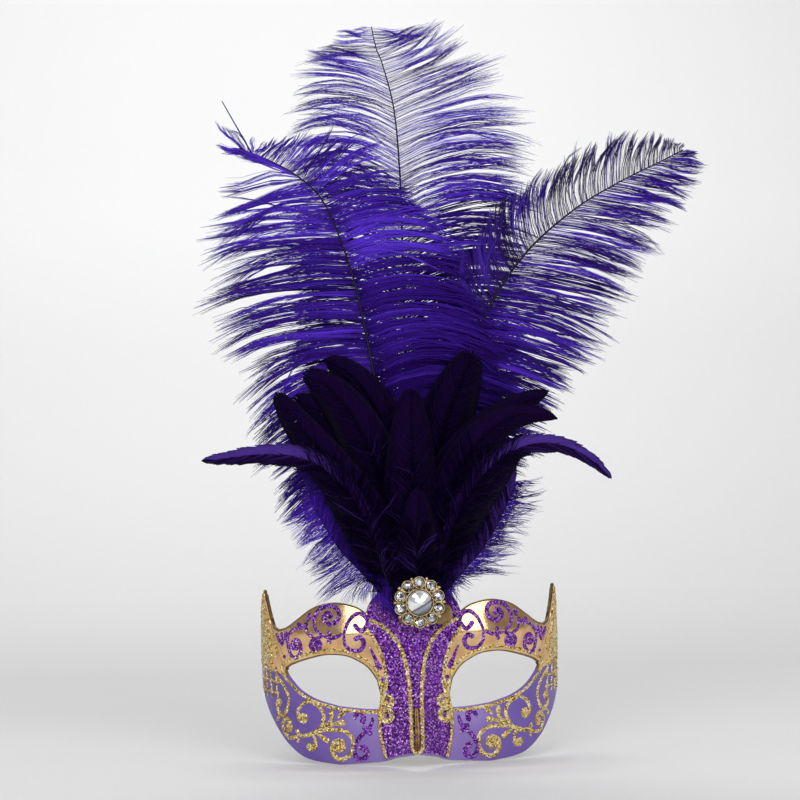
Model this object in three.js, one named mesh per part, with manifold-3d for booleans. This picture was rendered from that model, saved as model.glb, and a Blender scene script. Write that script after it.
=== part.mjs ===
// Feathered eye mask: a stiff half mask with horned temples, a brooch of cut stones on its crest and,
// behind the brooch, a spray of three plumes, a fan of vane feathers and two tufts of down.
// Millimetres, +Z up, the face of the mask looks along -Y. The origin is on the inner wall at the bridge.
import * as THREE from 'three';
import { mergeVertices } from 'three/addons/utils/BufferGeometryUtils.js';
import Module from 'manifold-3d';

const wasm = await Module();
wasm.setup();

const { degToRad, lerp, smoothstep } = THREE.MathUtils;
const WELD = 1e-4;

// Mask wall and plan section: a wide arc across the face, then a tight arc round each temple
const WALL = 2.2;
const FACE_RADIUS = 130;
const FACE_ANGLE = degToRad(25);
const TEMPLE_RADIUS = 60;
const BRIDGE_SETBACK = 5;
const SHEET_ROWS = 4;

// Relief of the face: how far nose, brow and cheek stand out, and where the forehead and jaw lean back
const NOSE = { height: 17, width: 12.5, top: 45, fall: 88, power: 1.3 };
const BROW = { height: 4.5, x: 42, z: 27, width: 24, rise: 11 };
const CHEEK = { height: 3.5, x: 40, z: -32, width: 26, rise: 13 };
const FOREHEAD = { z: 20, curve: 420 };
const JAW = { z: -20, curve: 320 };

// Right half of the mask, unrolled: distance from the centre line and height.
// Each row is one stretch of the outline with the stretch of the eye hole that faces it.
const HALF_OUTLINE = [
  {
    name: 'crest', steps: 4,
    edge: [[0, 62], [13, 57.5], [24.5, 47.2]],
    eye: [[22.4, 0], [25.2, 4.4], [27.6, 7.3]],
  },
  {
    name: 'notch', steps: 2,
    edge: [[24.5, 47.2], [26.8, 43], [27.9, 39.8]],
    eye: [[27.6, 7.3], [30, 9.2]],
  },
  {
    name: 'brow', steps: 12,
    edge: [[27.9, 39.8], [35, 43.6], [47.5, 45.5], [60.3, 42.6], [72, 35.6], [81, 30.4], [89, 28.4]],
    eye: [[30, 9.2], [38.5, 13.4], [47, 14.6], [55.5, 14], [68, 10.9], [77, 8]],
  },
  {
    name: 'horn front', steps: 5,
    edge: [[89, 28.4], [96.5, 31.5], [102, 39], [109, 50.5]],
    eye: [[77, 8], [82.7, 5.1]],
  },
  {
    name: 'horn back', steps: 5,
    edge: [[109, 50.5], [116, 40], [120, 25], [121, 10]],
    eye: [[82.7, 5.1], [80, 1.6]],
  },
  {
    name: 'cheek', steps: 12,
    edge: [[121, 10], [119, -6], [105, -19.5], [94.7, -28], [81.3, -39], [66.6, -46.8], [45, -49.8]],
    eye: [[80, 1.6], [72.5, -4.7], [65, -8.9], [57, -11.9], [45, -14.7]],
  },
  {
    name: 'nose edge', steps: 6,
    edge: [[45, -49.8], [24.6, -48.1], [17.5, -46.8], [10.4, -43.7], [0, -40.9]],
    eye: [[45, -14.7], [30, -16.1], [20, -16.2]],
  },
  {
    name: 'centre line', steps: 8, joined: true,
    edge: [[0, -40.9], [0, 62]],
    eye: [[20, -16.2], [20.3, -10], [22.4, 0]],
  },
];

// Brooch: a pad on the crest carries the setting, whose cups hold the stones
const BROOCH_X = 3.1;
const BROOCH_Z = 46;
const GAP = 0.35;
const PAD = { left: -9, right: 22, low: 33, high: 44, front: -3.2, back: 3.7, corner: 4, cornerSteps: 3 };
const SETTING_BACK = PAD.front - GAP;
const PLATE = { radius: 13.4, thick: 1.4, sides: 30 };
const CENTRE_CUP = { inner: 7.5, outer: 8.2, floor: 1.6, height: 5.2, sides: 24 };
const RING_CUP = { inner: 3.15, outer: 3.6, floor: 1.4, height: 3.8, sides: 10, count: 10, orbit: 11.4 };
const BEAD = { radius: 1.15, orbit: 14.1, lift: 2, sides: 10, bands: 3 };
const CENTRE_STONE = {
  radius: 7.15, tableRadius: 2.4, keelRadius: 2.5, crown: 3.4, girdle: 0.6, keel: 2.6, sides: 14,
};
const RING_STONE = {
  radius: 2.8, tableRadius: 1.5, keelRadius: 1, crown: 1.2, girdle: 0.3, keel: 1.6, sides: 8,
};

// Spray: every quill starts in the row behind the brooch, then fans out into its own layer
const QUILL_FOOT = PAD.high + GAP;
const VANE_PITCH = 1.9;
const VANE_QUILL = 1.5;
const VANE_FAN = { rowY: 2, low: 48, high: 100 };
const LAYER_PITCH = 1.6;
const BACK_LAYER = 2.6;
const PLUME_FAN = { rowY: 4.6, low: 64, high: 112 };
const PLUME_QUILL = 3;
const SWEEP = { side: 1000, topStart: 150, top: 2600 };

// Vane feathers from left to right: two handles and the tip of the quill's curve, the rank of the layer
// counted from the back, the blade's width and how blunt its end is
const VANE_COLUMNS = ['rank', 'x1', 'z1', 'x2', 'z2', 'tipX', 'tipZ', 'width', 'blunt'];
const VANES = table(VANE_COLUMNS, [
  [11, -38, 155, -70, 136, -121, 130, 16, 0.9],
  [6, -19, 74, -34, 102, -60, 138, 18, 0.6],
  [8, -12, 92, -45, 118, -77, 168, 18, 0.5],
  [2, -12, 95, -30, 150, -67, 165, 24, 0.5],
  [4, -10, 100, -26, 166, -61, 179, 26, 0.5],
  [0, -6, 110, -12, 172, -48, 187, 24, 0.6],
  [9, -2, 90, 0, 130, 0, 169, 26, 0.5],
  [12, 3, 65, 2, 85, 3, 112, 19, 0.5],
  [1, 2, 95, 14, 140, 38, 190, 32, 0.45],
  [3, 5, 104, 36, 150, 81, 166, 25, 0.8],
  [7, 12, 100, 38, 168, 85, 150, 22, 0.8],
  [5, 12, 85, 38, 108, 67, 141, 22, 0.6],
  [10, 24, 130, 75, 161, 117, 115, 15, 0.8],
]);
const VANE_THICK = 0.6;
const VANE_QUILL_TAPER = 0.7;
const VANE_RINGS = 7;
const BLADE_START = 0.2;
const BLADE_SKEW = 0.8;

// Plumes: the quill's way up from its foot, then rows of lock shapes along it. A lock leaves the quill
// at its lean, turns further by its turn towards the tip, and its side is left or right of the quill.
const LOCK_COLUMNS = ['along', 'leftLength', 'leftLean', 'leftTurn', 'rightLength', 'rightLean', 'rightTurn'];
const PLUMES = [
  {
    name: 'plume_left', layer: 8, foot: -5, locksPerSide: 11,
    quill: [[-8, 85], [-14, 135], [-21, 183], [-31, 235], [-46, 277], [-61, 294], [-78, 307], [-94, 319]],
    locks: table(LOCK_COLUMNS, [
      [0.24, 66, 78, 30, 60, 60, 60],
      [0.45, 86, 66, 38, 96, 58, 78],
      [0.62, 94, 60, 45, 98, 58, 82],
      [0.8, 76, 52, 45, 74, 52, 78],
      [0.92, 46, 42, 35, 44, 45, 62],
      [1, 20, 30, 25, 22, 30, 40],
    ]),
  },
  {
    name: 'plume_centre', layer: 23, foot: 0, locksPerSide: 11,
    quill: [[0, 85], [0, 130], [-1, 174], [-1, 250], [-1, 280], [-3, 308], [-7, 336], [-12, 358], [-17, 374]],
    locks: table(LOCK_COLUMNS, [
      [0.3, 62, 62, 55, 70, 62, 55],
      [0.5, 74, 60, 58, 82, 60, 58],
      [0.75, 70, 56, 60, 82, 58, 58],
      [0.9, 58, 50, 60, 68, 56, 58],
      [0.97, 44, 44, 66, 50, 56, 62],
      [1, 24, 40, 70, 30, 54, 70],
    ]),
  },
  {
    name: 'plume_right', layer: 15, foot: 5, locksPerSide: 11,
    quill: [
      [10, 85], [17, 130], [26, 168], [43, 213], [68, 250], [100, 276], [131, 292], [156, 303], [171, 309],
    ],
    locks: table(LOCK_COLUMNS, [
      [0.3, 36, 60, 45, 66, 84, 28],
      [0.5, 38, 60, 40, 72, 80, 30],
      [0.68, 34, 58, 30, 66, 72, 32],
      [0.84, 27, 54, 20, 52, 70, 30],
      [0.95, 19, 50, 15, 38, 68, 28],
      [1, 10, 40, 12, 24, 50, 26],
    ]),
  },
];
const LOCK_WIDTH = 24;
const LOCK_THICK = 4;
const LOCK_STAGGER = 0.6;
const LOCK_RINGS = [
  { at: 0, width: 0.75, thick: 0.7 },
  { at: 0.42, width: 1, thick: 1 },
  { at: 0.8, width: 0.55, thick: 0.6 },
  { at: 1, width: 0.06, thick: 0.15 },
];
const LAST_LOCK = 0.985;
const LOCK_SLIMNESS = 3;
const QUILL_TIP_SHARE = 1 / 3;
const QUILL_SIDES = 5;
const QUILL_STEPS = 9;

// Tufts of down: a short stem out to one side and its locks, given for the left tuft and mirrored
const DOWN_LAYER = 3.4;
const DOWN_SLOT = 7;
const DOWN_STEM = [[-27, 60], [-43, 76], [-56, 94]];
const DOWN_LOCKS = table(LOCK_COLUMNS, [
  [0.34, 27, 78, 20, 14, 30, 20],
  [0.6, 29, 64, 25, 24, 40, 20],
  [0.8, 26, 48, 25, 22, 40, 15],
  [1, 22, 18, 15, 20, 15, 10],
]);
const DOWN_LOCK_COUNT = 5;
const DOWN_LOCK_WIDTH = 17;
const DOWN_LOCK_THICK = 2.6;
const DOWN_QUILL = 1.5;

const FINISHES = {
  mask: { color: 0x6a4aa8, roughness: 0.4, metalness: 0.1 },
  brooch: { color: 0xb09a66, roughness: 0.3, metalness: 0.9 },
  pad: { color: 0x7d6238, roughness: 0.6, metalness: 0.4 },
  stone: { color: 0xdfe3ea, roughness: 0.05, metalness: 0.1 },
  plume: { color: 0x3a1d8a, roughness: 0.8, metalness: 0 },
  vane: { color: 0x1a0830, roughness: 0.6, metalness: 0 },
  down: { color: 0x43209a, roughness: 0.9, metalness: 0 },
};

// Turns rows of numbers into rows with named columns
function table(columns, rows) {
  return rows.map((row) => Object.fromEntries(columns.map((column, i) => [column, row[i]])));
}

// Row of a table at a place along it, mixed from the rows before and after
function rowAt(rows, along) {
  const after = Math.max(1, rows.findIndex((row) => row.along >= along));
  const [low, high] = [rows[after - 1], rows[after]];
  const share = (along - low.along) / (high.along - low.along);
  return Object.fromEntries(Object.keys(low).map((key) => [key, lerp(low[key], high[key], share)]));
}

// Closed solid through rings of equal size, with a flat end at each side
function loft(rings) {
  const count = rings[0].length;
  const index = [];
  for (let ring = 0; ring + 1 < rings.length; ring += 1) {
    for (let i = 0; i < count; i += 1) {
      const next = (i + 1) % count;
      const [a, b] = [ring * count + i, ring * count + next];
      index.push(a, b, b + count, a, b + count, a + count);
    }
  }
  const last = (rings.length - 1) * count;
  for (let i = 1; i + 1 < count; i += 1) {
    index.push(0, i + 1, i, last, last + i, last + i + 1);
  }
  return indexed(rings.flat(), index);
}

// Geometry from points and triangles, welded, with its faces turned outwards
function indexed(points, index) {
  const raw = new THREE.BufferGeometry().setFromPoints(points);
  raw.setIndex(index);
  const geometry = mergeVertices(raw, WELD);
  if (volume(geometry) < 0) geometry.index.array.reverse();
  return geometry;
}

function volume(geometry) {
  const place = geometry.attributes.position;
  const order = geometry.index.array;
  const corner = (i) => new THREE.Vector3().fromBufferAttribute(place, order[i]);
  let sum = 0;
  for (let i = 0; i < order.length; i += 3) {
    sum += corner(i).dot(corner(i + 1).cross(corner(i + 2)));
  }
  return sum / 6;
}

// Fuses closed geometries into one body
function fuse(geometries) {
  const solids = geometries.map((geometry) => {
    const bare = geometry.index ? geometry.clone() : mergeVertices(geometry);
    bare.deleteAttribute('normal');
    bare.deleteAttribute('uv');
    const welded = mergeVertices(bare, WELD);
    return new wasm.Manifold(new wasm.Mesh({
      numProp: 3,
      vertProperties: new Float32Array(welded.attributes.position.array),
      triVerts: new Uint32Array(welded.index.array),
    }));
  });
  const mesh = solids.reduce((whole, solid) => whole.add(solid)).getMesh();
  const geometry = new THREE.BufferGeometry();
  geometry.setAttribute('position', new THREE.BufferAttribute(mesh.vertProperties, 3));
  geometry.setIndex(new THREE.BufferAttribute(mesh.triVerts, 1));
  return geometry;
}

// Mask surface at a distance along the plan section and a height
function maskPoint(along, z) {
  const reach = Math.abs(along);
  const faceArc = FACE_RADIUS * FACE_ANGLE;
  const angle = reach < faceArc ? reach / FACE_RADIUS : FACE_ANGLE + (reach - faceArc) / TEMPLE_RADIUS;
  const faceAngle = Math.min(angle, FACE_ANGLE);
  const x = FACE_RADIUS * Math.sin(faceAngle) + TEMPLE_RADIUS * (Math.sin(angle) - Math.sin(faceAngle));
  const faceDepth = FACE_RADIUS * (1 - Math.cos(faceAngle));
  const depth = faceDepth + TEMPLE_RADIUS * (Math.cos(faceAngle) - Math.cos(angle));
  const bump = (form) => {
    return form.height * Math.exp(-(((z - form.z) / form.rise) ** 2) - ((x - form.x) / form.width) ** 2);
  };
  const noseShare = Math.max(0, (NOSE.top - z) / NOSE.fall) ** NOSE.power;
  const nose = NOSE.height * noseShare * Math.exp(-((x / NOSE.width) ** 2));
  const lean = Math.max(0, z - FOREHEAD.z) ** 2 / FOREHEAD.curve + Math.max(0, JAW.z - z) ** 2 / JAW.curve;
  const y = BRIDGE_SETBACK + depth + lean - nose - bump(BROW) - bump(CHEEK);
  return new THREE.Vector3(Math.sign(along) * x, y, z);
}

// Point on the inner wall: the surface moved back along its normal
function maskInner(along, z) {
  const step = 0.05;
  const across = maskPoint(along + step, z).sub(maskPoint(along - step, z));
  const up = maskPoint(along, z + step).sub(maskPoint(along, z - step));
  return maskPoint(along, z).addScaledVector(up.cross(across).normalize(), WALL);
}

// One half of the wall: a grid between the eye hole and the outline, open only on the centre line
function halfShell(side) {
  const rings = [];
  const joined = [];
  for (const stretch of HALF_OUTLINE) {
    const spaced = (points) => {
      const curve = new THREE.SplineCurve(points.map(([x, y]) => new THREE.Vector2(x, y)));
      return curve.getSpacedPoints(stretch.steps).slice(0, -1);
    };
    const edge = spaced(stretch.edge);
    spaced(stretch.eye).forEach((hole, i) => {
      const between = (_, row) => hole.clone().lerp(edge[i], row / SHEET_ROWS);
      rings.push(Array.from({ length: SHEET_ROWS + 1 }, between));
      joined.push(Boolean(stretch.joined));
    });
  }
  const points = [];
  for (const ring of rings) points.push(...ring.map((p) => maskPoint(side * p.x, p.y)));
  for (const ring of rings) points.push(...ring.map((p) => maskInner(side * p.x, p.y)));
  const index = [];
  const quad = (a, b, c, d) => index.push(...(side > 0 ? [a, b, c, a, c, d] : [a, c, b, a, d, c]));
  const width = SHEET_ROWS + 1;
  const inner = rings.length * width;
  for (let i = 0; i < rings.length; i += 1) {
    const [here, next] = [i * width, ((i + 1) % rings.length) * width];
    for (let row = 0; row < SHEET_ROWS; row += 1) {
      quad(here + row, here + row + 1, next + row + 1, next + row);
      quad(inner + here + row, inner + next + row, inner + next + row + 1, inner + here + row + 1);
    }
    quad(here, next, inner + next, inner + here);
    if (!joined[i]) {
      const [a, b] = [here + SHEET_ROWS, next + SHEET_ROWS];
      quad(a, inner + a, inner + b, b);
    }
  }
  return { points, index };
}

function maskShell() {
  const [right, left] = [halfShell(1), halfShell(-1)];
  const shifted = left.index.map((i) => i + right.points.length);
  return indexed([...right.points, ...left.points], [...right.index, ...shifted]);
}

// Pad with round corners, extruded from its back to its front
function broochPad() {
  const outline = new THREE.Shape();
  const { left, right, low, high, front, back, corner, cornerSteps } = PAD;
  outline.absarc(right - corner, low + corner, corner, -Math.PI / 2, 0);
  outline.absarc(right - corner, high - corner, corner, 0, Math.PI / 2);
  outline.absarc(left + corner, high - corner, corner, Math.PI / 2, Math.PI);
  outline.absarc(left + corner, low + corner, corner, Math.PI, Math.PI * 1.5);
  const form = { depth: back - front, bevelEnabled: false, curveSegments: cornerSteps };
  const geometry = new THREE.ExtrudeGeometry(outline, form);
  geometry.rotateX(Math.PI / 2);
  geometry.translate(0, back, 0);
  return geometry;
}

// Turned cup with a floor, its axis along +Z
function cup({ inner, outer, floor, height, sides }) {
  const profile = [[0, 0], [outer, 0], [outer, height], [inner, height], [inner, floor], [0, floor]];
  const turned = new THREE.LatheGeometry(profile.map(([r, z]) => new THREE.Vector2(r, z)), sides);
  return turned.rotateX(Math.PI / 2);
}

// Place on a circle of the brooch, counted clockwise from its top in steps of the ring
function onRing(orbit, step) {
  const angle = (2 * Math.PI * step) / RING_CUP.count;
  return [orbit * Math.sin(angle), orbit * Math.cos(angle)];
}

// Setting in the brooch's own frame: x right, y up, z forwards
function broochSetting() {
  const plate = new THREE.CylinderGeometry(PLATE.radius, PLATE.radius, PLATE.thick, PLATE.sides);
  const pieces = [plate.rotateX(Math.PI / 2).translate(0, 0, PLATE.thick / 2), cup(CENTRE_CUP)];
  for (let i = 0; i < RING_CUP.count; i += 1) {
    pieces.push(cup(RING_CUP).translate(...onRing(RING_CUP.orbit, i), 0));
    const bead = new THREE.SphereGeometry(BEAD.radius, BEAD.sides, BEAD.bands);
    pieces.push(bead.translate(...onRing(BEAD.orbit, i + 0.5), BEAD.lift));
  }
  return fuse(pieces);
}

// Cut stone: flat keel, girdle, and a crown of triangles up to the table
function cutStone({ radius, tableRadius, keelRadius, crown, girdle, keel, sides }) {
  const ring = (r, z, turn) => Array.from({ length: sides }, (_, i) => {
    const angle = (2 * Math.PI * (i + turn)) / sides;
    return new THREE.Vector3(r * Math.cos(angle), r * Math.sin(angle), z);
  });
  const top = keel + girdle;
  const below = [ring(keelRadius, 0, 0), ring(radius, keel, 0)];
  return loft([...below, ring(radius, top, 0), ring(tableRadius, top + crown, 0.5)]);
}

// Depth of a feather at a place: from its row out to its layer, swept back at the sides and the top
function fanDepth(x, z, fan, layer) {
  const sweep = x ** 2 / SWEEP.side + Math.max(0, z - SWEEP.topStart) ** 2 / SWEEP.top;
  return lerp(fan.rowY, layer, smoothstep(z, fan.low, fan.high)) + sweep;
}

// Ring of a flat section carried along a path in the picture plane: offsets across the path and in depth
function sectionRing(place, heading, offsets, fan, layer) {
  return offsets.map(([across, depth]) => {
    const x = place.x - Math.sin(heading) * across;
    const z = place.y + Math.cos(heading) * across;
    return new THREE.Vector3(x, fanDepth(x, z, fan, layer) + depth, z);
  });
}

function headingOf(tangent) {
  return Math.atan2(tangent.y, tangent.x);
}

// Vane feather: a round quill that flattens into a blade, widest near its middle
function vaneFeather(row, slot) {
  const path = new THREE.CubicBezierCurve(
    new THREE.Vector2(slot * VANE_PITCH, QUILL_FOOT),
    new THREE.Vector2(row.x1, row.z1),
    new THREE.Vector2(row.x2, row.z2),
    new THREE.Vector2(row.tipX, row.tipZ),
  );
  const layer = BACK_LAYER - LAYER_PITCH * row.rank;
  const stations = [0, BLADE_START / 2];
  for (let i = 0; i <= VANE_RINGS; i += 1) stations.push(lerp(BLADE_START, 1, i / VANE_RINGS));
  return loft(stations.map((at) => {
    const blade = Math.max(0, (at - BLADE_START) / (1 - BLADE_START));
    const swell = Math.max(0, Math.sin(Math.PI * blade ** BLADE_SKEW)) ** row.blunt;
    const quill = VANE_QUILL * (1 - VANE_QUILL_TAPER * blade);
    const half = Math.max(quill, row.width * swell) / 2;
    const thick = lerp(VANE_QUILL, VANE_THICK, Math.min(1, at / BLADE_START)) / 2;
    const ridge = quill / 3;
    const front = [[-half, 0], [-ridge, -thick], [ridge, -thick]];
    const offsets = [...front, [half, 0], [ridge, thick], [-ridge, thick]];
    return sectionRing(path.getPointAt(at), headingOf(path.getTangentAt(at)), offsets, VANE_FAN, layer);
  }));
}

// Lock of barbs: leaves its root at a heading and turns evenly towards its pointed end
function lock(root, heading, turn, length, width, thick, lift, fan, layer) {
  return loft(LOCK_RINGS.map((ring) => {
    const now = heading + turn * ring.at;
    const reach = length / turn;
    const place = new THREE.Vector2(
      root.x + reach * (Math.sin(now) - Math.sin(heading)),
      root.y - reach * (Math.cos(now) - Math.cos(heading)),
    );
    const [across, depth] = [(width * ring.width) / 2, (thick * ring.thick) / 2];
    const offsets = [[-across, lift + depth], [0, lift - depth], [across, lift + depth]];
    return sectionRing(place, now, offsets, fan, layer);
  }));
}

// Quill with locks on both sides, fused into one body
function featherOfLocks({ path, rows, count, quill, width, thick, fan, layer }) {
  const quillRings = Array.from({ length: QUILL_STEPS + 1 }, (_, step) => {
    const at = step / QUILL_STEPS;
    const radius = (quill / 2) * lerp(1, QUILL_TIP_SHARE, at);
    const offsets = Array.from({ length: QUILL_SIDES }, (_unused, i) => {
      const angle = (2 * Math.PI * i) / QUILL_SIDES;
      return [radius * Math.cos(angle), radius * Math.sin(angle)];
    });
    return sectionRing(path.getPointAt(at), headingOf(path.getTangentAt(at)), offsets, fan, layer);
  });
  const pieces = [loft(quillRings)];
  for (let i = 0; i < count; i += 1) {
    const along = lerp(rows[0].along, LAST_LOCK, i / (count - 1));
    const row = rowAt(rows, along);
    const heading = headingOf(path.getTangentAt(along));
    const lift = i % 2 ? LOCK_STAGGER : -LOCK_STAGGER;
    for (const [sign, side] of [[1, 'left'], [-1, 'right']]) {
      const length = row[`${side}Length`];
      const lean = sign * degToRad(row[`${side}Lean`]);
      const turn = sign * degToRad(row[`${side}Turn`]);
      const lockWidth = width * Math.min(1, length / (LOCK_SLIMNESS * width));
      const root = path.getPointAt(along);
      pieces.push(lock(root, heading + lean, turn, length, lockWidth, thick, lift * sign, fan, layer));
    }
  }
  return fuse(pieces);
}

function plume({ foot, quill, layer, locks, locksPerSide }) {
  const points = [[foot, QUILL_FOOT], ...quill].map(([x, z]) => new THREE.Vector2(x, z));
  return featherOfLocks({
    path: new THREE.SplineCurve(points), rows: locks, count: locksPerSide, quill: PLUME_QUILL,
    width: LOCK_WIDTH, thick: LOCK_THICK, fan: PLUME_FAN, layer,
  });
}

// Tuft of down on one side: 1 for the right, -1 for the left, with the locks' sides swapped to mirror it
function downTuft(side) {
  const stem = [[-DOWN_SLOT * VANE_PITCH, QUILL_FOOT + GAP], ...DOWN_STEM];
  const rows = side < 0 ? DOWN_LOCKS : DOWN_LOCKS.map((row) => ({
    along: row.along,
    leftLength: row.rightLength, leftLean: row.rightLean, leftTurn: row.rightTurn,
    rightLength: row.leftLength, rightLean: row.leftLean, rightTurn: row.leftTurn,
  }));
  return featherOfLocks({
    path: new THREE.SplineCurve(stem.map(([x, z]) => new THREE.Vector2(-side * x, z))),
    rows, count: DOWN_LOCK_COUNT, quill: DOWN_QUILL,
    width: DOWN_LOCK_WIDTH, thick: DOWN_LOCK_THICK, fan: VANE_FAN, layer: DOWN_LAYER,
  });
}

const group = new THREE.Group();

function add(parent, name, geometry, finish) {
  const mesh = new THREE.Mesh(geometry, new THREE.MeshStandardMaterial(FINISHES[finish]));
  mesh.name = name;
  parent.add(mesh);
  return mesh;
}

function numbered(name, i) {
  return `${name}_${String(i + 1).padStart(2, '0')}`;
}

add(group, 'mask_shell', maskShell(), 'mask');
add(group, 'brooch_pad', broochPad(), 'pad');

const brooch = new THREE.Group();
brooch.position.set(BROOCH_X, SETTING_BACK, BROOCH_Z);
brooch.rotation.x = Math.PI / 2;
group.add(brooch);
add(brooch, 'brooch_setting', broochSetting(), 'brooch');
add(brooch, 'centre_stone', cutStone(CENTRE_STONE), 'stone').position.z = CENTRE_CUP.floor + GAP;
for (let i = 0; i < RING_CUP.count; i += 1) {
  const stone = add(brooch, numbered('ring_stone', i), cutStone(RING_STONE), 'stone');
  stone.position.set(...onRing(RING_CUP.orbit, i), RING_CUP.floor + GAP);
}

for (const spec of PLUMES) add(group, spec.name, plume(spec), 'plume');
VANES.forEach((row, i) => {
  add(group, numbered('vane_feather', i), vaneFeather(row, i - (VANES.length - 1) / 2), 'vane');
});
add(group, 'down_left', downTuft(-1), 'down');
add(group, 'down_right', downTuft(1), 'down');

export default group;
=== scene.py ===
# %% [markdown]
# # A feathered eye mask
#
# The real object is a stiff half mask, gold above the eyes and violet below, with a brooch of cut stones
# on its crest and a spray of dyed feathers behind the brooch. The frame already holds every piece at its
# true place and size, so this lesson only adds the fine surface: barbs for the feathers, glitter and gold
# leaf for the mask, and polished metal for the brooch. All sizes are in millimetres until a mesh is made.

# %% Load the frame
import bmesh
import bpy
import numpy as np
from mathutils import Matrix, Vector


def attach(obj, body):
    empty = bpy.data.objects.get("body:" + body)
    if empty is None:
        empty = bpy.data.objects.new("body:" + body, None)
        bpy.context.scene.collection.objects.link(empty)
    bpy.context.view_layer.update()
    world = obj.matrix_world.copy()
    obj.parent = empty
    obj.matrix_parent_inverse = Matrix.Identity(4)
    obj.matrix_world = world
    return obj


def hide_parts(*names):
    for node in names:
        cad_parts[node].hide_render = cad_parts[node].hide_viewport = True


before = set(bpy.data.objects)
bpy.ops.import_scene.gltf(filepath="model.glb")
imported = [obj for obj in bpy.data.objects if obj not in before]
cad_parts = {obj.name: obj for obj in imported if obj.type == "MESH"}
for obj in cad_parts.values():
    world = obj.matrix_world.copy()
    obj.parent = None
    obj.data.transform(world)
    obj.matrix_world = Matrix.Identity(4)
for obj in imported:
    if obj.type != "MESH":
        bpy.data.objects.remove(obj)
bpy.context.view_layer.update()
MM = 0.001
print("nodes in the frame:", len(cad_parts))

# %% [markdown]
# ## Camera, floor and light
#
# The mask is seen from straight in front, a little from the left, through a long lens, so its sides stay
# nearly parallel. A floor that curves up into a wall gives a plain pale ground with no horizon; its colour
# is painted lighter and darker along the way, a painted fall-off of the studio light. Wide soft lamps stand
# for the studio: feathers need broad light, and gold leaf needs bright shapes to mirror.

# %% Camera
CAMERA_PLACE = np.array([-63.9, -1393.6, 162.6])
CAMERA_TURN = np.radians([90.0, 1.2, -2.4])
CAMERA_LENS = 108.62
CAMERA_SENSOR = 36.0

camera = bpy.data.objects.new("camera", bpy.data.cameras.new("camera"))
camera.location = CAMERA_PLACE * MM
camera.rotation_euler = CAMERA_TURN
camera.data.lens = CAMERA_LENS
camera.data.sensor_width = CAMERA_SENSOR
bpy.context.scene.collection.objects.link(camera)
bpy.context.scene.camera = camera
bpy.context.scene.view_settings.view_transform = "Standard"
print("camera is", round(float(np.linalg.norm(CAMERA_PLACE))), "mm from the bridge of the nose")

# %% [markdown]
# ## Meshes from arrays
#
# Every new piece is worked out as whole arrays of points. A grid of points becomes quads by one rule for
# the corners of each cell, and a tube is a grid whose columns close on themselves. The arrays go into the
# mesh in one step, which is quick even for thousands of barbs.

# %% Faces of grids, tubes and sheets
def grid_quads(rows, columns, close_rows=False, close_columns=False):
    """Corners of a grid's cells: point (i, j) has number i * columns + j, and a closed side wraps round."""
    i = np.arange(rows if close_rows else rows - 1)
    j = np.arange(columns if close_columns else columns - 1)
    i, j = np.meshgrid(i, j, indexing="ij")
    below, beside = (i + 1) % rows, (j + 1) % columns
    corners = [i * columns + j, below * columns + j, below * columns + beside, i * columns + beside]
    return np.stack(corners, -1).reshape(-1, 4)


def tube_faces(steps, sides):
    """Quads round a tube and a fan of triangles on each end; a triangle repeats its last corner."""
    k = np.arange(1, sides - 1)
    start = np.stack([np.zeros_like(k), k, k + 1, k + 1], -1)
    end = np.stack([np.zeros_like(k), k + 1, k, k], -1) + (steps - 1) * sides
    return np.concatenate([grid_quads(steps, sides, close_columns=True), start, end])


def sheet_faces(rows, columns):
    """Front grid, the same grid behind it turned round, and a strip of quads along the border."""
    front = grid_quads(rows, columns)
    back = front[:, ::-1] + rows * columns
    number = np.arange(rows * columns).reshape(rows, columns)
    border = np.concatenate([number[:-1, 0], number[-1, :-1], number[:0:-1, -1], number[0, :0:-1]])
    after = np.roll(border, -1)
    strip = np.stack([after, border, border + rows * columns, after + rows * columns], -1)
    return np.concatenate([front, back, strip])


def joined(parts):
    """One (points, faces) pair from many: a part's faces move up by the number of points before it."""
    starts = np.cumsum([0] + [len(points) for points, _ in parts])
    faces = [faces + start for (_, faces), start in zip(parts, starts)]
    return np.concatenate([points for points, _ in parts]), np.concatenate(faces)


print("faces of a three-sided tube of six steps:", len(tube_faces(6, 3)))

# %% Pieces from points and faces
def new_piece(name, points, faces, materials, values=None, face_material=None, smooth=True):
    """Mesh object from points in millimetres and four-cornered faces, where a triangle repeats its last."""
    keep = np.ones(faces.shape, bool)
    keep[:, 3] = faces[:, 3] != faces[:, 2]
    sides = keep.sum(1)
    mesh = bpy.data.meshes.new(name)
    mesh.vertices.add(len(points))
    mesh.vertices.foreach_set("co", (np.asarray(points) * MM).astype(np.float32).ravel())
    mesh.loops.add(int(sides.sum()))
    mesh.loops.foreach_set("vertex_index", faces[keep].astype(np.int32))
    mesh.polygons.add(len(faces))
    mesh.polygons.foreach_set("loop_start", (np.cumsum(sides) - sides).astype(np.int32))
    mesh.polygons.foreach_set("use_smooth", np.full(len(faces), smooth))
    for material in materials:
        mesh.materials.append(material)
    if face_material is not None:
        mesh.polygons.foreach_set("material_index", face_material.astype(np.int32))
    for key, array in (values or {}).items():
        mesh.attributes.new(key, "FLOAT", "POINT").data.foreach_set("value", array.astype(np.float32))
    mesh.update(calc_edges=True)
    piece = bpy.data.objects.new(name, mesh)
    bpy.context.scene.collection.objects.link(piece)
    return piece


def weld(piece):
    """Merges points that lie on each other, so that seams and poles are closed, and drops unused ones."""
    shape = bmesh.new()
    shape.from_mesh(piece.data)
    bmesh.ops.remove_doubles(shape, verts=shape.verts, dist=1e-7)
    bmesh.ops.delete(shape, geom=[v for v in shape.verts if not v.link_faces], context="VERTS")
    shape.to_mesh(piece.data)
    shape.free()
    return piece


made_triangles = []


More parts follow.
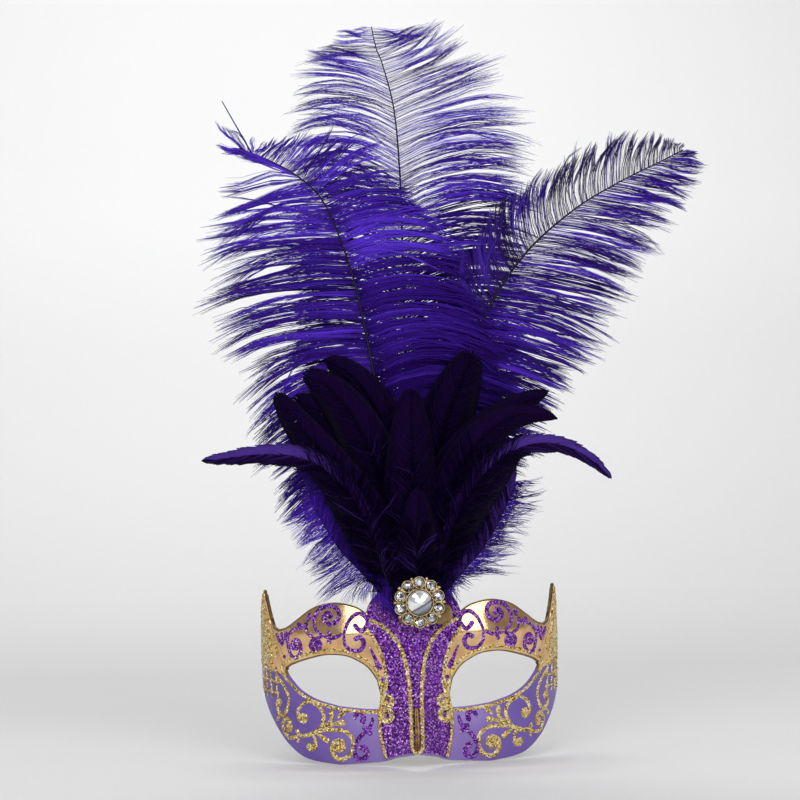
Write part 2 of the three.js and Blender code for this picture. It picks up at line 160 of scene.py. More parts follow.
def seat(piece, slot, *nodes):
    """The piece moves with the object and stands for the named nodes, whose frame parts are hidden; its slot
    is not used.
    """
    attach(piece, "root")
    if nodes:
        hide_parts(*nodes)
    made_triangles.append(len(piece.data.loops) - 2 * len(piece.data.polygons))
    print(piece.name, made_triangles[-1], "triangles")
    return piece


# %% Materials from named sockets
def new_material(name, sockets):
    """Material with its shader's own sockets set; returns it with its node tree and shader."""
    material = bpy.data.materials.new(name)
    material.use_nodes = True
    shader = material.node_tree.nodes["Principled BSDF"]
    for socket, value in sockets.items():
        shader.inputs[socket].default_value = value
    return material, material.node_tree, shader


def add_node(tree, kind, settings=(), inputs=()):
    """Node of a kind, with its settings and the values or links of its inputs."""
    node = tree.nodes.new(kind)
    for key, value in dict(settings).items():
        setattr(node, key, value)
    for key, value in dict(inputs).items():
        if isinstance(value, bpy.types.NodeSocket):
            tree.links.new(value, node.inputs[key])
        else:
            node.inputs[key].default_value = value
    return node


def paint(tree, shader, factor, stops):
    """Base colour read off a colour ramp by a factor: each stop is a place and a colour."""
    ramp = add_node(tree, "ShaderNodeValToRGB", inputs={"Fac": factor})
    stripe = ramp.color_ramp
    while len(stripe.elements) < len(stops):
        stripe.elements.new(0.5)
    for element, (place, colour) in zip(stripe.elements, stops):
        element.position = place
        element.color = (*colour, 1)
    tree.links.new(ramp.outputs["Color"], shader.inputs["Base Color"])


def object_places(tree):
    """Places in the frame, in metres."""
    return tree.nodes.new("ShaderNodeTexCoord").outputs["Object"]


def point_tint(tree):
    """The tint that a mesh carries on its points."""
    return add_node(tree, "ShaderNodeAttribute", {"attribute_name": "tint"}).outputs["Fac"]


# %% Floor and wall
FLOOR_LEVEL = -50.0
FLOOR_FRONT = -1900.0
FLOOR_STEPS = (-100.0, 0.0, 120.0, 300.0, 500.0, 750.0, 1150.0)
FLOOR_HALF_WIDTH = 2600.0
SWEEP_START = 1300.0
SWEEP_RADIUS = 600.0
SWEEP_STEPS = 24
WALL_STEPS = (680.0, 750.0, 2200.0)
# painted light and shade: tones that make the ground lighter and darker along its way, as light falls off in
# the studio
FLOOR_PAINTED_LIGHT = (
    [-100, 0, 120, 300, 500, 750, 1150, 1300],
    [0.88, 0.865, 0.84, 0.755, 0.70, 0.686, 0.70, 0.715],
)
WALL_PAINTED_LIGHT = (
    [-50, 15, 90, 240, 320, 410, 550, 630, 700],
    [0.715, 0.742, 0.767, 0.788, 0.818, 0.852, 0.854, 0.829, 0.80],
)

bend = np.linspace(0, np.pi / 2, SWEEP_STEPS)
floor_y = np.array([FLOOR_FRONT, *FLOOR_STEPS])
wall_y = np.full(len(WALL_STEPS), SWEEP_START + SWEEP_RADIUS)
sweep_y = np.concatenate([floor_y, SWEEP_START + SWEEP_RADIUS * np.sin(bend), wall_y])
sweep_z = np.concatenate([0 * floor_y, SWEEP_RADIUS * (1 - np.cos(bend)), WALL_STEPS]) + FLOOR_LEVEL
sweep_x = np.tile([-FLOOR_HALF_WIDTH, FLOOR_HALF_WIDTH], len(sweep_y))
sweep_points = np.stack([sweep_x, sweep_y.repeat(2), sweep_z.repeat(2)], -1)
pale, pale_tree, pale_shader = new_material("pale_ground", {"Roughness": 0.9, "Specular IOR Level": 0.1})
paint(pale_tree, pale_shader, point_tint(pale_tree), [(0, (0, 0, 0)), (1, (1, 1, 1))])
on_floor = sweep_y <= SWEEP_START
# painted light and shade, read off the floor and wall tones
painted_falloff = np.where(on_floor, np.interp(sweep_y, *FLOOR_PAINTED_LIGHT), np.interp(sweep_z, *WALL_PAINTED_LIGHT)).repeat(2)
ground = new_piece("ground", sweep_points, grid_quads(len(sweep_y), 2), [pale], {"tint": painted_falloff})
print("floor at", FLOOR_LEVEL, "mm")


# %% Lamps
LAMPS = {
    "lamp_left": ((-630, -1635, 820), (0, 0, 80), (880, 1200), 10.7),
    "lamp_right": ((820, -1545, 820), (0, 0, 80), (1080, 1200), 11.8),
    "lamp_top": ((0, -200, 1500), (0, 200, 100), (900, 900), 2.7),
    "lamp_wall": ((-100, 1000, 1500), (-100, 1700, 500), (1600, 1200), 17),
}
STUDIO_COLOUR = (0.9, 0.9, 0.92, 1)
STUDIO_STRENGTH = 0.33


def soft_lamp(name, place, aim, size, power):
    """Flat lamp of a size in millimetres at a place, turned towards the point it is aimed at."""
    light = bpy.data.lights.new(name, "AREA")
    light.shape = "RECTANGLE"
    light.size, light.size_y = size[0] * MM, size[1] * MM
    light.energy = power
    lamp = bpy.data.objects.new(name, light)
    lamp.location = Vector(place) * MM
    lamp.rotation_euler = (Vector(aim) - Vector(place)).to_track_quat("-Z", "Y").to_euler()
    bpy.context.scene.collection.objects.link(lamp)


for name, terms in LAMPS.items():
    soft_lamp(name, *terms)
world = bpy.data.worlds.new("studio")
world.use_nodes = True
background = world.node_tree.nodes["Background"]
background.inputs["Color"].default_value = STUDIO_COLOUR
background.inputs["Strength"].default_value = STUDIO_STRENGTH
bpy.context.scene.world = world
print("lamps:", len(LAMPS))

# %% [markdown]
# ## Curves
#
# Feathers, scrolls and the outline of the mask all start as flat curves: through a few chosen points, or
# from a start to an end with two handles. A curve is sampled finely once, and places on it are then taken
# at even shares of its length, so that barbs and glitter are spaced as evenly as on the real thing.

# %% Flat curves
def through(points, fine=40):
    """Smooth curve through points: cubic spans whose slope at a point is half the chord of its neighbours."""
    p = np.asarray(points, float)
    spans = len(p) - 1
    padded = np.concatenate([p[:1], p, p[-1:]])
    t = np.linspace(0, spans, fine * spans + 1)
    k = np.minimum(t.astype(int), spans - 1)
    f = (t - k)[:, None]
    a, b, c, d = (padded[k + i] for i in range(4))
    return 0.5 * (2 * b + (c - a) * f + (2 * a - 5 * b + 4 * c - d) * f**2 + (3 * b - a - 3 * c + d) * f**3)


def handled(start, first, second, end, fine=160):
    """Curve from start to end pulled towards two handles: the four points, each times its share (1-t)^3,
    3t(1-t)^2, 3t^2(1-t) or t^3."""
    t = np.linspace(0, 1, fine)[:, None]
    mixed = np.multiply((1 - t) ** 3, start) + np.multiply(3 * t * (1 - t) ** 2, first)
    return mixed + np.multiply(3 * t**2 * (1 - t), second) + np.multiply(t**3, end)


def even_places(curve, shares):
    """Places and headings at shares of a curve's length, read off the running length of its fine steps."""
    run = np.concatenate([[0], np.cumsum(np.linalg.norm(np.diff(curve, axis=0), axis=1))])
    slope = np.gradient(curve, axis=0)
    heading = np.unwrap(np.arctan2(slope[:, 1], slope[:, 0]))
    at = np.asarray(shares) * run[-1]
    places = np.stack([np.interp(at, run, curve[:, k]) for k in (0, 1)], -1)
    return places, np.interp(at, run, heading)


def smooth_step(low, high, value):
    """0 below low, 1 above high and 3t^2 - 2t^3 between them."""
    t = np.clip((value - low) / (high - low), 0, 1)
    return t * t * (3 - 2 * t)


print("curve helpers ready")

# %% [markdown]
# ## Barbs
#
# A feather is a quill with barbs on both sides. On a plume the barbs are long and loose, and they cling
# together in locks with gaps between them. Particle hair could make them, but it leaves no mesh, so each
# barb here is a few thin three-sided tubes: a dark shaft and its fuzz, whose lighter colour is painted light,
# as if light shone through it. A barb leaves the quill at its lean and turns evenly on its way; it is then
# drawn towards the middle line of its strand and its lock, more and more towards its end.

# %% The fan's layers
SWEEP = {"side": 1000.0, "top_start": 150.0, "top": 2600.0}
PLUME_FAN = {"row_y": 4.6, "low": 64.0, "high": 112.0}
VANE_FAN = {"row_y": 2.0, "low": 48.0, "high": 100.0}
QUILL_FOOT = 44.35


def fan_depth(x, z, fan, layer):
    """Depth of a feather at a place: from its row behind the brooch out to its layer, swept back outwards."""
    swept = x**2 / SWEEP["side"] + np.maximum(0, z - SWEEP["top_start"]) ** 2 / SWEEP["top"]
    rise = smooth_step(fan["low"], fan["high"], z)
    return fan["row_y"] + (layer - fan["row_y"]) * rise + swept


# %% Tubes along many paths at once
def many_tubes(paths, half_width, half_depth, sides=3):
    """Closed tubes: round each path point a ring of half_width times the direction across the path, level
    with the picture, and half_depth times the direction out of it. Returns points and faces."""
    count, steps, _ = paths.shape
    slope = np.gradient(paths, axis=1)
    slope /= np.linalg.norm(slope, axis=2, keepdims=True) + 1e-9
    across = np.cross(slope, [0.0, 1.0, 0.0])
    across /= np.linalg.norm(across, axis=2, keepdims=True) + 1e-9
    deep = np.cross(across, slope)
    turn = 2 * np.pi * (np.arange(sides) + 0.25) / sides
    wide = half_width[..., None, None] * np.cos(turn)[:, None] * across[:, :, None, :]
    tall = half_depth[..., None, None] * np.sin(turn)[:, None] * deep[:, :, None, :]
    points = (paths[:, :, None, :] + wide + tall).reshape(-1, 3)
    faces = tube_faces(steps, sides)[None] + (np.arange(count) * steps * sides)[:, None, None]
    return points, faces.reshape(-1, 4)


def even_arcs(root, heading, turn, length, share):
    """Arcs of even turn: root + length/turn * (sin(h + turn*u) - sin h, cos h - cos(h + turn*u))."""
    now = heading[:, None] + turn[:, None] * share
    reach = (length / turn)[:, None]
    x = root[:, :1] + reach * (np.sin(now) - np.sin(heading)[:, None])
    z = root[:, 1:] + reach * (np.cos(heading)[:, None] - np.cos(now))
    return np.stack([x, z], -1)


# %% Locks and their middles
SIZE_LAW = (3.0, 1.0)
NOISE_LENGTH, NOISE_LEAN, NOISE_TURN = 0.08, 6, 10
STRAIGHTEST = 4.0


def split_locks(first, last, locks, random):
    """Middles of uneven stretches between two shares of the quill, and a function from share to stretch.
    The sizes of the stretches follow a gamma law."""
    sizes = random.gamma(*SIZE_LAW, locks)
    bounds = first + (last - first) * np.concatenate([[0], np.cumsum(sizes)]) / sizes.sum()
    return 0.5 * (bounds[1:] + bounds[:-1]), lambda along: np.searchsorted(bounds[1:-1], along)


def arc_terms(curve, rows, side, along, noise):
    """Root, heading, turn and length of arcs that leave the quill at shares of it. The noise has a row each
    for length, lean and turn, and one of it is 8 percent, 6 degrees and 10 degrees."""
    length, lean, turn = (np.interp(along, rows[:, 0], rows[:, k]) for k in (1, 2, 3))
    length = length * (1 + NOISE_LENGTH * noise[0])
    lean = np.radians(lean + NOISE_LEAN * noise[1])
    turn = turn + NOISE_TURN * noise[2]
    turn = np.radians(np.where(np.abs(turn) < STRAIGHTEST, STRAIGHTEST, turn))
    root, heading = even_places(curve, along)
    return root, heading + side * lean, side * turn, length


# %% Barbs, strands and locks of one side
BARB_SCATTER = 0.6
LOCK_NOISE, BARB_NOISE, STRAY_NOISE = 0.08, 0.3, 0.9


def group_barbs(curve, rows, side, look, random):
    """Shares of the quill where the barbs of one side leave it, with each barb's strand and lock: a few
    barbs make a strand, a few strands make a lock, and a stray is drawn to neither. Also the arcs of the
    barbs, strands and locks, whose noise a strand adds to its lock's and a barb has mostly for itself."""
    count, first, last = look["barbs"], rows[0, 0], look["last"]
    spaced = (np.arange(count) + BARB_SCATTER * random.random(count)) / count
    along = first + (last - first) * spaced ** look["crowd"]
    lock_middle, lock_of = split_locks(first, last, look["locks"], random)
    strand_middle, strand_of = split_locks(first, last, look["strands"], random)
    strand = strand_of(along)
    strand_lock = lock_of(strand_middle)
    lock = strand_lock[strand]
    stray = random.random(count) < look["stray"]
    lock_noise = look["wander"] * random.normal(size=(3, look["locks"]))
    strand_noise = lock_noise[:, strand_lock] + look["loose"] * random.normal(size=(3, look["strands"]))
    own_noise = (BARB_NOISE + STRAY_NOISE * stray) * random.normal(size=(3, count))
    barb_noise = LOCK_NOISE * lock_noise[:, lock] + own_noise
    wanted = ((along, barb_noise), (strand_middle, strand_noise), (lock_middle, lock_noise))
    arcs = [arc_terms(curve, rows, side, at, noise) for at, noise in wanted]
    return along, strand, lock, stray, arcs


# %% Paths of the hairs
REACH_LIMITS = (0.3, 1.05)
GATHER_END = 0.45
HOLD_SHARES = (0.5, 0.85)
HOLD_CHANCE, CLUMP_CHANCE = (0.6, 1.2), (0.3, 1.3)
HOLD_LIMIT = 0.97
WAVE_RATES = (3, 8)
SPREAD_STEP = (0.05, 0.5)


def hair_paths(curve, groups, look, random):
    """Flat paths of the hairs, the barb of each hair, and which hairs are shafts: the first of a barb is its
    shaft, the others are its fuzz. A hair follows its barb's arc from a root beside it, is drawn by a smooth
    step to its strand's arc and, less, to its lock's, and sways square to its way by a sine and by chance."""
    along, strand, lock, stray, (own, led, far) = groups
    barb = np.repeat(np.arange(look["barbs"]), look["hairs"])
    shaft = np.arange(len(barb)) % look["hairs"] == 0
    u = np.linspace(0, 1, look["steps"])
    reach = random.normal(*look["ends"], look["barbs"]).clip(*REACH_LIMITS)[barb]
    reach = (reach * np.where(shaft, 1, random.uniform(look["blunt"], 1, len(barb))))[:, None] * u
    flat = even_arcs(*(term[barb] for term in own), reach)
    pitch = np.gradient(along)[barb] * random.uniform(-1, 1, len(barb))
    beside = even_places(curve, (along[barb] + pitch).clip(0, 1))[0] - own[0][barb]
    flat += beside[:, None] * (1 - look["gather"] * smooth_step(0, GATHER_END, u))[:, None]
    hold = np.interp(along, HOLD_SHARES, look["hold"])
    hold = hold * random.uniform(*HOLD_CHANCE, look["strands"])[strand]
    clump = np.interp(along, HOLD_SHARES, look["clump"])
    clump = clump * random.uniform(*CLUMP_CHANCE, look["locks"])[lock]
    grip = np.where(shaft, 1, random.uniform(look["grip"], 1, len(barb)))
    for arcs, group, part in ((led, strand, hold), (far, lock, clump)):
        middle = even_arcs(*(term[group[barb]] for term in arcs), reach)
        pull = (grip * (part.clip(0, HOLD_LIMIT) * ~stray)[barb])[:, None] * smooth_step(look["free"], 1, u)
        flat += (middle - flat) * pull[..., None]
    slope = np.gradient(flat, axis=1)
    square = np.stack([-slope[..., 1], slope[..., 0]], -1) / np.linalg.norm(slope, axis=2, keepdims=True)
    phase = random.uniform(0, 2 * np.pi, look["strands"])[strand[barb], None]
    rate = random.uniform(*WAVE_RATES, look["strands"])[strand[barb], None]
    swing = look["wave"] * u * np.sin(phase + rate * u)
    chance = (random.normal(size=len(barb)) * ~shaft)[:, None]
    flat += square * (look["spread"] * chance * smooth_step(*SPREAD_STEP, u) + swing)[..., None]
    return flat, barb, shaft


# %% Depth, tint and girth of the hairs
LIFT_WEIGHTS, TINT_WEIGHTS = (0.8, 0.6, 0.4, 0.3), (0.08, 0.09, 0.1, 0.08)
LIFT_LIMITS = (-1.0, 2.5)
LIFT_POWER = 1.3
# painted shade for hairs further back
LIFT_SHADE = 0.08
# painted light: the fuzz is made lighter, as if light shone through it
FUZZ_PAINTED_LIGHT = 0.2
SHAFT_DARK = 0.14
SHADE_SHARES = (0.35, 0.8)
VEIL_SHARES = (0.3, 0.75)


def side_of_barbs(curve, rows, side, look, random):
    """Flat paths, depth lifts, tints, veils and girths of the hairs on one side. Rows give length, lean and
    turn along the quill. Lift and tint are sums of chance for lock, strand, barb and hair; a hair further
    back is darker, and so are shafts and the shaded foot of the feather."""
    groups = group_barbs(curve, rows, side, look, random)
    along, strand, lock, _, _ = groups
    flat, barb, shaft = hair_paths(curve, groups, look, random)
    levels = [(look["locks"], lock[barb]), (look["strands"], strand[barb])]
    levels += [(look["barbs"], barb), (len(barb), slice(None))]
    lift = sum(w * random.normal(size=n)[of] for w, (n, of) in zip(LIFT_WEIGHTS, levels)).clip(*LIFT_LIMITS)
    tint = sum(w * random.normal(size=n)[of] for w, (n, of) in zip(TINT_WEIGHTS, levels))
    # painted shade: a hair further back is darker; the fuzz gets painted light, and shafts are darker
    tint += look["tint"] - LIFT_SHADE * lift + np.where(shaft, -SHAFT_DARK, FUZZ_PAINTED_LIGHT)
    # painted shade on the foot of the feather, as much as the look's shade
    tint -= look["shade"] * (1 - smooth_step(*SHADE_SHARES, along))[barb]
    veil = look["veil"] * smooth_step(*VEIL_SHARES, along)[barb] * ~shaft
    girth = np.where(shaft, look["girth"][0], look["girth"][1] * np.interp(along, *look["thick"])[barb])
    u = np.linspace(0, 1, look["steps"])
    return flat, look["depth"] * lift[:, None] * u**LIFT_POWER, tint.clip(0, 1), veil, girth


# %% Quill and barbs as one mesh
QUILL_STEPS, QUILL_SIDES = 48, 8
QUILL_TAPER = 0.7
QUILL_TINT = 0.5
VEIL_THIN = 0.3
VEIL_STEP = (-0.08, 0.2)
TIP_THIN = 0.6
TIP_START = 0.8


def quill_tube(curve, fan, layer, thick, thin):
    """Quill: an eight-sided tube along the curve in its layer, thinner towards the tip."""
    share = np.linspace(0, 1, QUILL_STEPS)
    flat, _ = even_places(curve, share)
    y = fan_depth(flat[:, 0], flat[:, 1], fan, layer)
    path = np.stack([flat[:, 0], y, flat[:, 1]], -1)[None]
    half = (thick + (thin - thick) * share**QUILL_TAPER)[None]
    return many_tubes(path, half, half, sides=QUILL_SIDES)


def side_tubes(curve, rows, side, look, fan, layer, random):
    """Hairs of one side as tubes in the feather's layer, thin up to the veil's share, then full, then
    tapered; returned with a tint for every tube."""
    flat, lift, tint, veil, girth = side_of_barbs(curve, rows, side, look, random)
    y = fan_depth(flat[..., 0], flat[..., 1], fan, layer) + lift
    paths = np.stack([flat[..., 0], y, flat[..., 1]], -1)
    u = np.linspace(0, 1, paths.shape[1])
    bare = (veil > 0)[:, None] * (1 - smooth_step(*VEIL_STEP, u - veil[:, None]))
    half = girth[:, None] * (1 - (1 - VEIL_THIN) * bare) * (1 - TIP_THIN * smooth_step(TIP_START, 1, u))
    return many_tubes(paths, half, half), tint


def feather_piece(name, quill, parts, materials, dyes):
    """One mesh of a quill in the first material and of parts, which are tubes with their tints, each in the
    material that its dye counts to. Every point carries a tint."""
    points, faces = joined([quill] + [tubes for tubes, _ in parts])
    tint = [np.full(len(quill[0]), QUILL_TINT)]
    tint += [np.repeat(tints, len(tubes[0]) // len(tints)) for tubes, tints in parts]
    kind = np.repeat([0, *dyes], [len(quill[1])] + [len(tubes[1]) for tubes, _ in parts])
    return new_piece(name, points, faces, materials, {"tint": np.concatenate(tint)}, kind)


print("quill steps:", QUILL_STEPS)

# %% [markdown]
# ## Dyed feather finishes
#
# The feathers are dyed violet. A single barb is nearly blue where light falls on it and almost black in
# the shade of the others, and every lock took the dye a little differently. The colour is read from the
# tint that each barb carries, so the pattern follows the feather; besides the dye's own differences, the
# tint holds painted shade for hairs further back and for the foot of a feather, and painted light in the
# fuzz. The shader's sheen stands for the fine fluff on the barbs, which is too small to model.

# %% Feather materials
SHEEN_ROUGHNESS = 0.4
DYE_PLACES = (0.05, 0.5, 0.95)
DYES = {
    "plume_dye": ((0.012, 0.0025, 0.075), (0.05, 0.013, 0.31), (0.16, 0.06, 0.85), 0.5, 0.2, 0.3),
    "dusk_dye": ((0.022, 0.014, 0.055), (0.05, 0.017, 0.26), (0.14, 0.06, 0.7), 0.5, 0.15, 0.3),
    "vane_dye": ((0.0025, 0.0005, 0.007), (0.006, 0.0012, 0.02), (0.065, 0.03, 0.24), 0.42, 0.0, 0.35),
    "down_dye": ((0.015, 0.004, 0.10), (0.065, 0.018, 0.38), (0.14, 0.05, 0.70), 0.6, 0.3, 0.3),
}
HORN = {"Base Color": (0.007, 0.002, 0.02, 1), "Roughness": 0.5, "Specular IOR Level": 0.2}


def dyed(name, dark, middle, light, roughness, sheen, gloss):
    """Dye that runs from dark to light with the barb's tint; sheen and gloss have the light colour."""
    sockets = {"Roughness": roughness, "Sheen Weight": sheen, "Sheen Roughness": SHEEN_ROUGHNESS}
    sockets |= {"Specular IOR Level": gloss, "Specular Tint": (*light, 1), "Sheen Tint": (*light, 1)}
    material, tree, shader = new_material(name, sockets)
    paint(tree, shader, point_tint(tree), list(zip(DYE_PLACES, (dark, middle, light))))
    return material


plume_dye, dusk_dye, vane_dye, down_dye = (dyed(name, *terms) for name, terms in DYES.items())
quill_horn, _, _ = new_material("quill_horn", HORN)
print("feather finishes:", len(DYES) + 1)

# %% [markdown]
# ## Plumes
#
# Three large plumes stand at the back: one leans left and curls over at its tip, one stands straight, and
# one sweeps out to the right with its short barbs above and its long ones below. The tables give each
# quill's way up and, along it, how long the barbs are, how far they lean from the quill and how far they
# turn on their way out.

# %% Plume tables
def half_look(locks, strands, hold, clump, thick, **other):
    """Look of one side: how many locks and strands it has, how firmly a strand and a lock hold their barbs
    low and high on the quill, and how thick the fuzz is at shares of the quill."""
    return {"locks": locks, "strands": strands, "hold": hold, "clump": clump, "thick": thick, **other}


# A row gives a share of the quill, then length, lean and turn of the left barbs and of the right ones.
PLUMES = {
    "plume_left": {
        "layer": 8.0,
        "quill": [
            (-5, QUILL_FOOT), (-8, 85), (-14, 135), (-21, 183), (-31, 235), (-46, 277), (-61, 294),
            (-79, 305), (-96, 312.5),
        ],
        "rows": [
            (0.14, 42, 84, 40, 50, 60, 60),
            (0.22, 57, 84, 42, 62, 61, 61),
            (0.3, 72, 84, 44, 74, 62, 62),
            (0.45, 83, 80, 44, 88, 70, 66),
            (0.62, 87, 70, 38, 78, 80, 54),
            (0.8, 70, 58, 22, 60, 88, 50),
            (0.86, 54, 50, 12, 40, 94, 20),
            (0.875, 36, 14, 6, 36, 97, 14),
            (0.91, 24, 9, 4, 28, 102, 8),
            (0.95, 18, 8, 4, 17, 108, 4),
            (0.975, 17, 14, 2, 8, 110, 2),
            (0.985, 16, 16, 0, 22, 30, 4),
            (1, 15, 12, 0, 24, 20, 4),
        ],
        "left": half_look(40, 125, (0.45, 0.75), (0.25, 0.35), ([0.3, 0.6], [2.3, 1.25])),
        "right": half_look(40, 130, (0.1, 0.7), (0, 0.25), ([0.4, 0.75, 0.9], [3.0, 2.4, 0.9]), shade=0.65),
        "twigs": [[(-89, 310), (-97.5, 326), (-105.5, 341)]],
        "look": {"tint": 0.52, "crowd": 1.2, "veil": 0.1, "shade": 0.35},
    },
    "plume_centre": {
        "layer": 23.0,
        "quill": [
            (0, QUILL_FOOT), (0, 85), (0, 130), (-1, 174), (-1, 250), (-1.5, 297), (-4, 335), (-10, 362),
            (-14, 373.5), (-16, 385.5),
        ],
        "rows": [
            (0.16, 62, 62, 55, 70, 62, 55),
            (0.5, 74, 58, 56, 82, 58, 56),
            (0.75, 70, 52, 55, 82, 60, 50),
            (0.83, 64, 50, 52, 76, 70, 32),
            (0.89, 56, 47, 44, 58, 82, -8),
            (0.94, 46, 58, 8, 44, 92, -22),
            (0.975, 26, 72, 4, 32, 100, -12),
            (1, 9, 88, 2, 20, 106, -4),
        ],
        "left": half_look(44, 130, (0.1, 0.6), (0, 0.2), ([0.5, 0.7, 0.82], [2.7, 1.5, 0.72])),
        "right": half_look(44, 130, (0.1, 0.55), (0, 0.15), ([0.5, 0.7, 0.82], [2.7, 1.5, 0.75])),
        "look": {
            "tint": 0.54, "crowd": 1.0, "veil": 0.24, "shade": 0.75, "girth": (0.16, 0.09), "loose": 1.1,
            "wave": 1.7,
        },
    },
    "plume_right": {
        "layer": 15.0,
        "quill": [
            (5, QUILL_FOOT), (10, 85), (17, 130), (26, 166), (45, 209), (70, 246), (101, 273), (131, 290.5),
            (156, 302.5), (171, 310),
        ],
        "rows": [
            (0.14, 30, 60, 30, 26, 84, 24),
            (0.28, 34, 64, 10, 52, 80, 24),
            (0.5, 42, 74, -50, 74, 68, 22),
            (0.68, 42, 72, -60, 70, 48, 18),
            (0.84, 36, 68, -50, 48, 36, 8),
            (0.95, 17, 62, -20, 28, 34, 4),
            (1, 3, 56, -8, 8, 28, 4),
        ],
        "left": half_look(
            50, 150, (0.2, 0.5), (0.1, 0.25), ([0.4, 0.6, 0.7, 0.9], [2.4, 1.5, 1.0, 0.75]),
            tint=0.05, veil=0.5, shade=-0.4, dye=2,
        ),
        "right": half_look(
            46, 150, (0.3, 0.55), (0, 0.15), ([0.35, 0.55, 0.7, 0.9], [2.6, 1.6, 1.1, 0.9]),
        ),
        "look": {"tint": 0.34, "crowd": 1.1, "veil": 0.24, "shade": 0.2},
    },
}
PLUME_LOOK = {
    "barbs": 330, "hairs": 8, "steps": 6, "last": 0.998, "stray": 0.06, "wander": 0.75, "loose": 0.8,
    "free": 0.22, "gather": 0.3, "spread": 0.45, "wave": 1.4, "depth": 3.5, "ends": (0.95, 0.06),
    "blunt": 0.85, "girth": (0.22, 0.1), "grip": 0.55,
}
PLUME_QUILL = (1.4, 0.3)
PLUME_SEED = 100
TWIG = (0.5, 0.3)
TWIG_TINT = 0.2
print("barbs on each side of a plume:", PLUME_LOOK["barbs"])

# %% Make the plumes
LEFT, RIGHT = 1, -1
LEFT_COLUMNS, RIGHT_COLUMNS = (0, 1, 2, 3), (0, 4, 5, 6)
for number, (name, plume) in enumerate(PLUMES.items()):
    random = np.random.default_rng(PLUME_SEED + number)
    curve = through(plume["quill"])
    rows = np.array(plume["rows"], float)
    parts, dyes = [], []
    for side, columns, half in ((LEFT, LEFT_COLUMNS, plume["left"]), (RIGHT, RIGHT_COLUMNS, plume["right"])):
        look = {**PLUME_LOOK, **plume["look"], **half}
        parts.append(side_tubes(curve, rows[:, columns], side, look, PLUME_FAN, plume["layer"], random))
        dyes.append(half.get("dye", 1))
    for twig in plume.get("twigs", []):
        tube = quill_tube(through(twig), PLUME_FAN, plume["layer"], *TWIG)
        parts.append((tube, np.array([TWIG_TINT])))
        dyes.append(1)
    quill = quill_tube(curve, PLUME_FAN, plume["layer"], *PLUME_QUILL)
    piece = feather_piece(name + "_barbs", quill, parts, [quill_horn, plume_dye, dusk_dye], dyes)
    seat(piece, "plume", name)

# %% [markdown]
# ## Vane feathers
#
# In front of the plumes stands a fan of thirteen smooth feathers, so dark that they look black. On such a
# feather the barbs lie side by side and hook together into a blade, which splits here and there and frays
# at its edge. A flat sheet would show none of this, so the blade is made of barbs too: each runs from the
# quill to the outline a little further up, and is wide enough to cover the gap to the next.

# %% Vane tables
VANE_COLUMNS = ("rank", "x1", "z1", "x2", "z2", "tip_x", "tip_z", "width", "blunt", "tint", "fray")
VANES = [
    (11, -38, 149, -70, 134, -120, 130, 15, 0.4, 0.72, 0.1),
    (6, -19, 74, -34, 102, -60, 138, 22, 0.5, 0.25, 0.01),
    (8, -12, 92, -45, 118, -77, 168, 26, 0.4, 0.25, 0.01),
    (2, -12, 95, -30, 150, -67, 165, 30, 0.4, 0.2, 0.01),
    (4, -10, 100, -26, 166, -61, 179, 32, 0.4, 0.3, 0.01),
    (0, -6, 110, -12, 172, -48, 187, 32, 0.45, 0.2, 0.01),
    (9, -2, 90, 0, 130, 0, 169, 32, 0.4, 0.3, 0.01),
    (12, 3, 65, 2, 85, 3, 112, 24, 0.45, 0.25, 0.01),
    (1, 2, 95, 14, 140, 38, 190, 38, 0.35, 0.2, 0.01),
    (3, 5, 104, 36, 150, 81, 166, 30, 0.6, 0.25, 0.01),
    (7, 12, 100, 38, 168, 85, 150, 26, 0.6, 0.3, 0.01),
    (5, 12, 85, 38, 108, 67, 141, 26, 0.5, 0.3, 0.01),
    (10, 24, 130, 75, 161, 116, 115, 13, 0.4, 0.72, 0.1),
]
VANE_SEED = 200
VANE_PITCH = 1.9
VANE_QUILL = (0.6, 0.15)
VANE_QUILL_SINK = 0.6
LAYER_PITCH = 1.6
BACK_LAYER = 2.6
print("vane feathers:", len(VANES))

# %% Blade of a vane feather
BLADE_START = 0.1
BLADE_SKEW = 0.68
BLADE_BARBS = 140
BLADE_BARB = {"steps": 5, "reach": 0.24, "bend": 1.6, "half": (0.95, 0.12), "limit": 1.1}
BLADE_SLIM = ([0, 0.15, 0.85, 1], [0.7, 1, 0.9, 0.35])
BLADE_CUP = 0.012
BLADE_ROUGH = 0.03
SPLIT = {"count": 3, "shares": (0.15, 0.9), "reach": 0.03, "lean": (0.003, 0.3)}
BLADE_SHADE = 0.25
SHADE_STEP = (0.3, 0.6)
TINT_NOISE = (0.04, 0.3)
# painted light on the upper half of a blade and painted shade on its lower half
PAINTED_TOP_LIGHT = (0.08, 1.3)


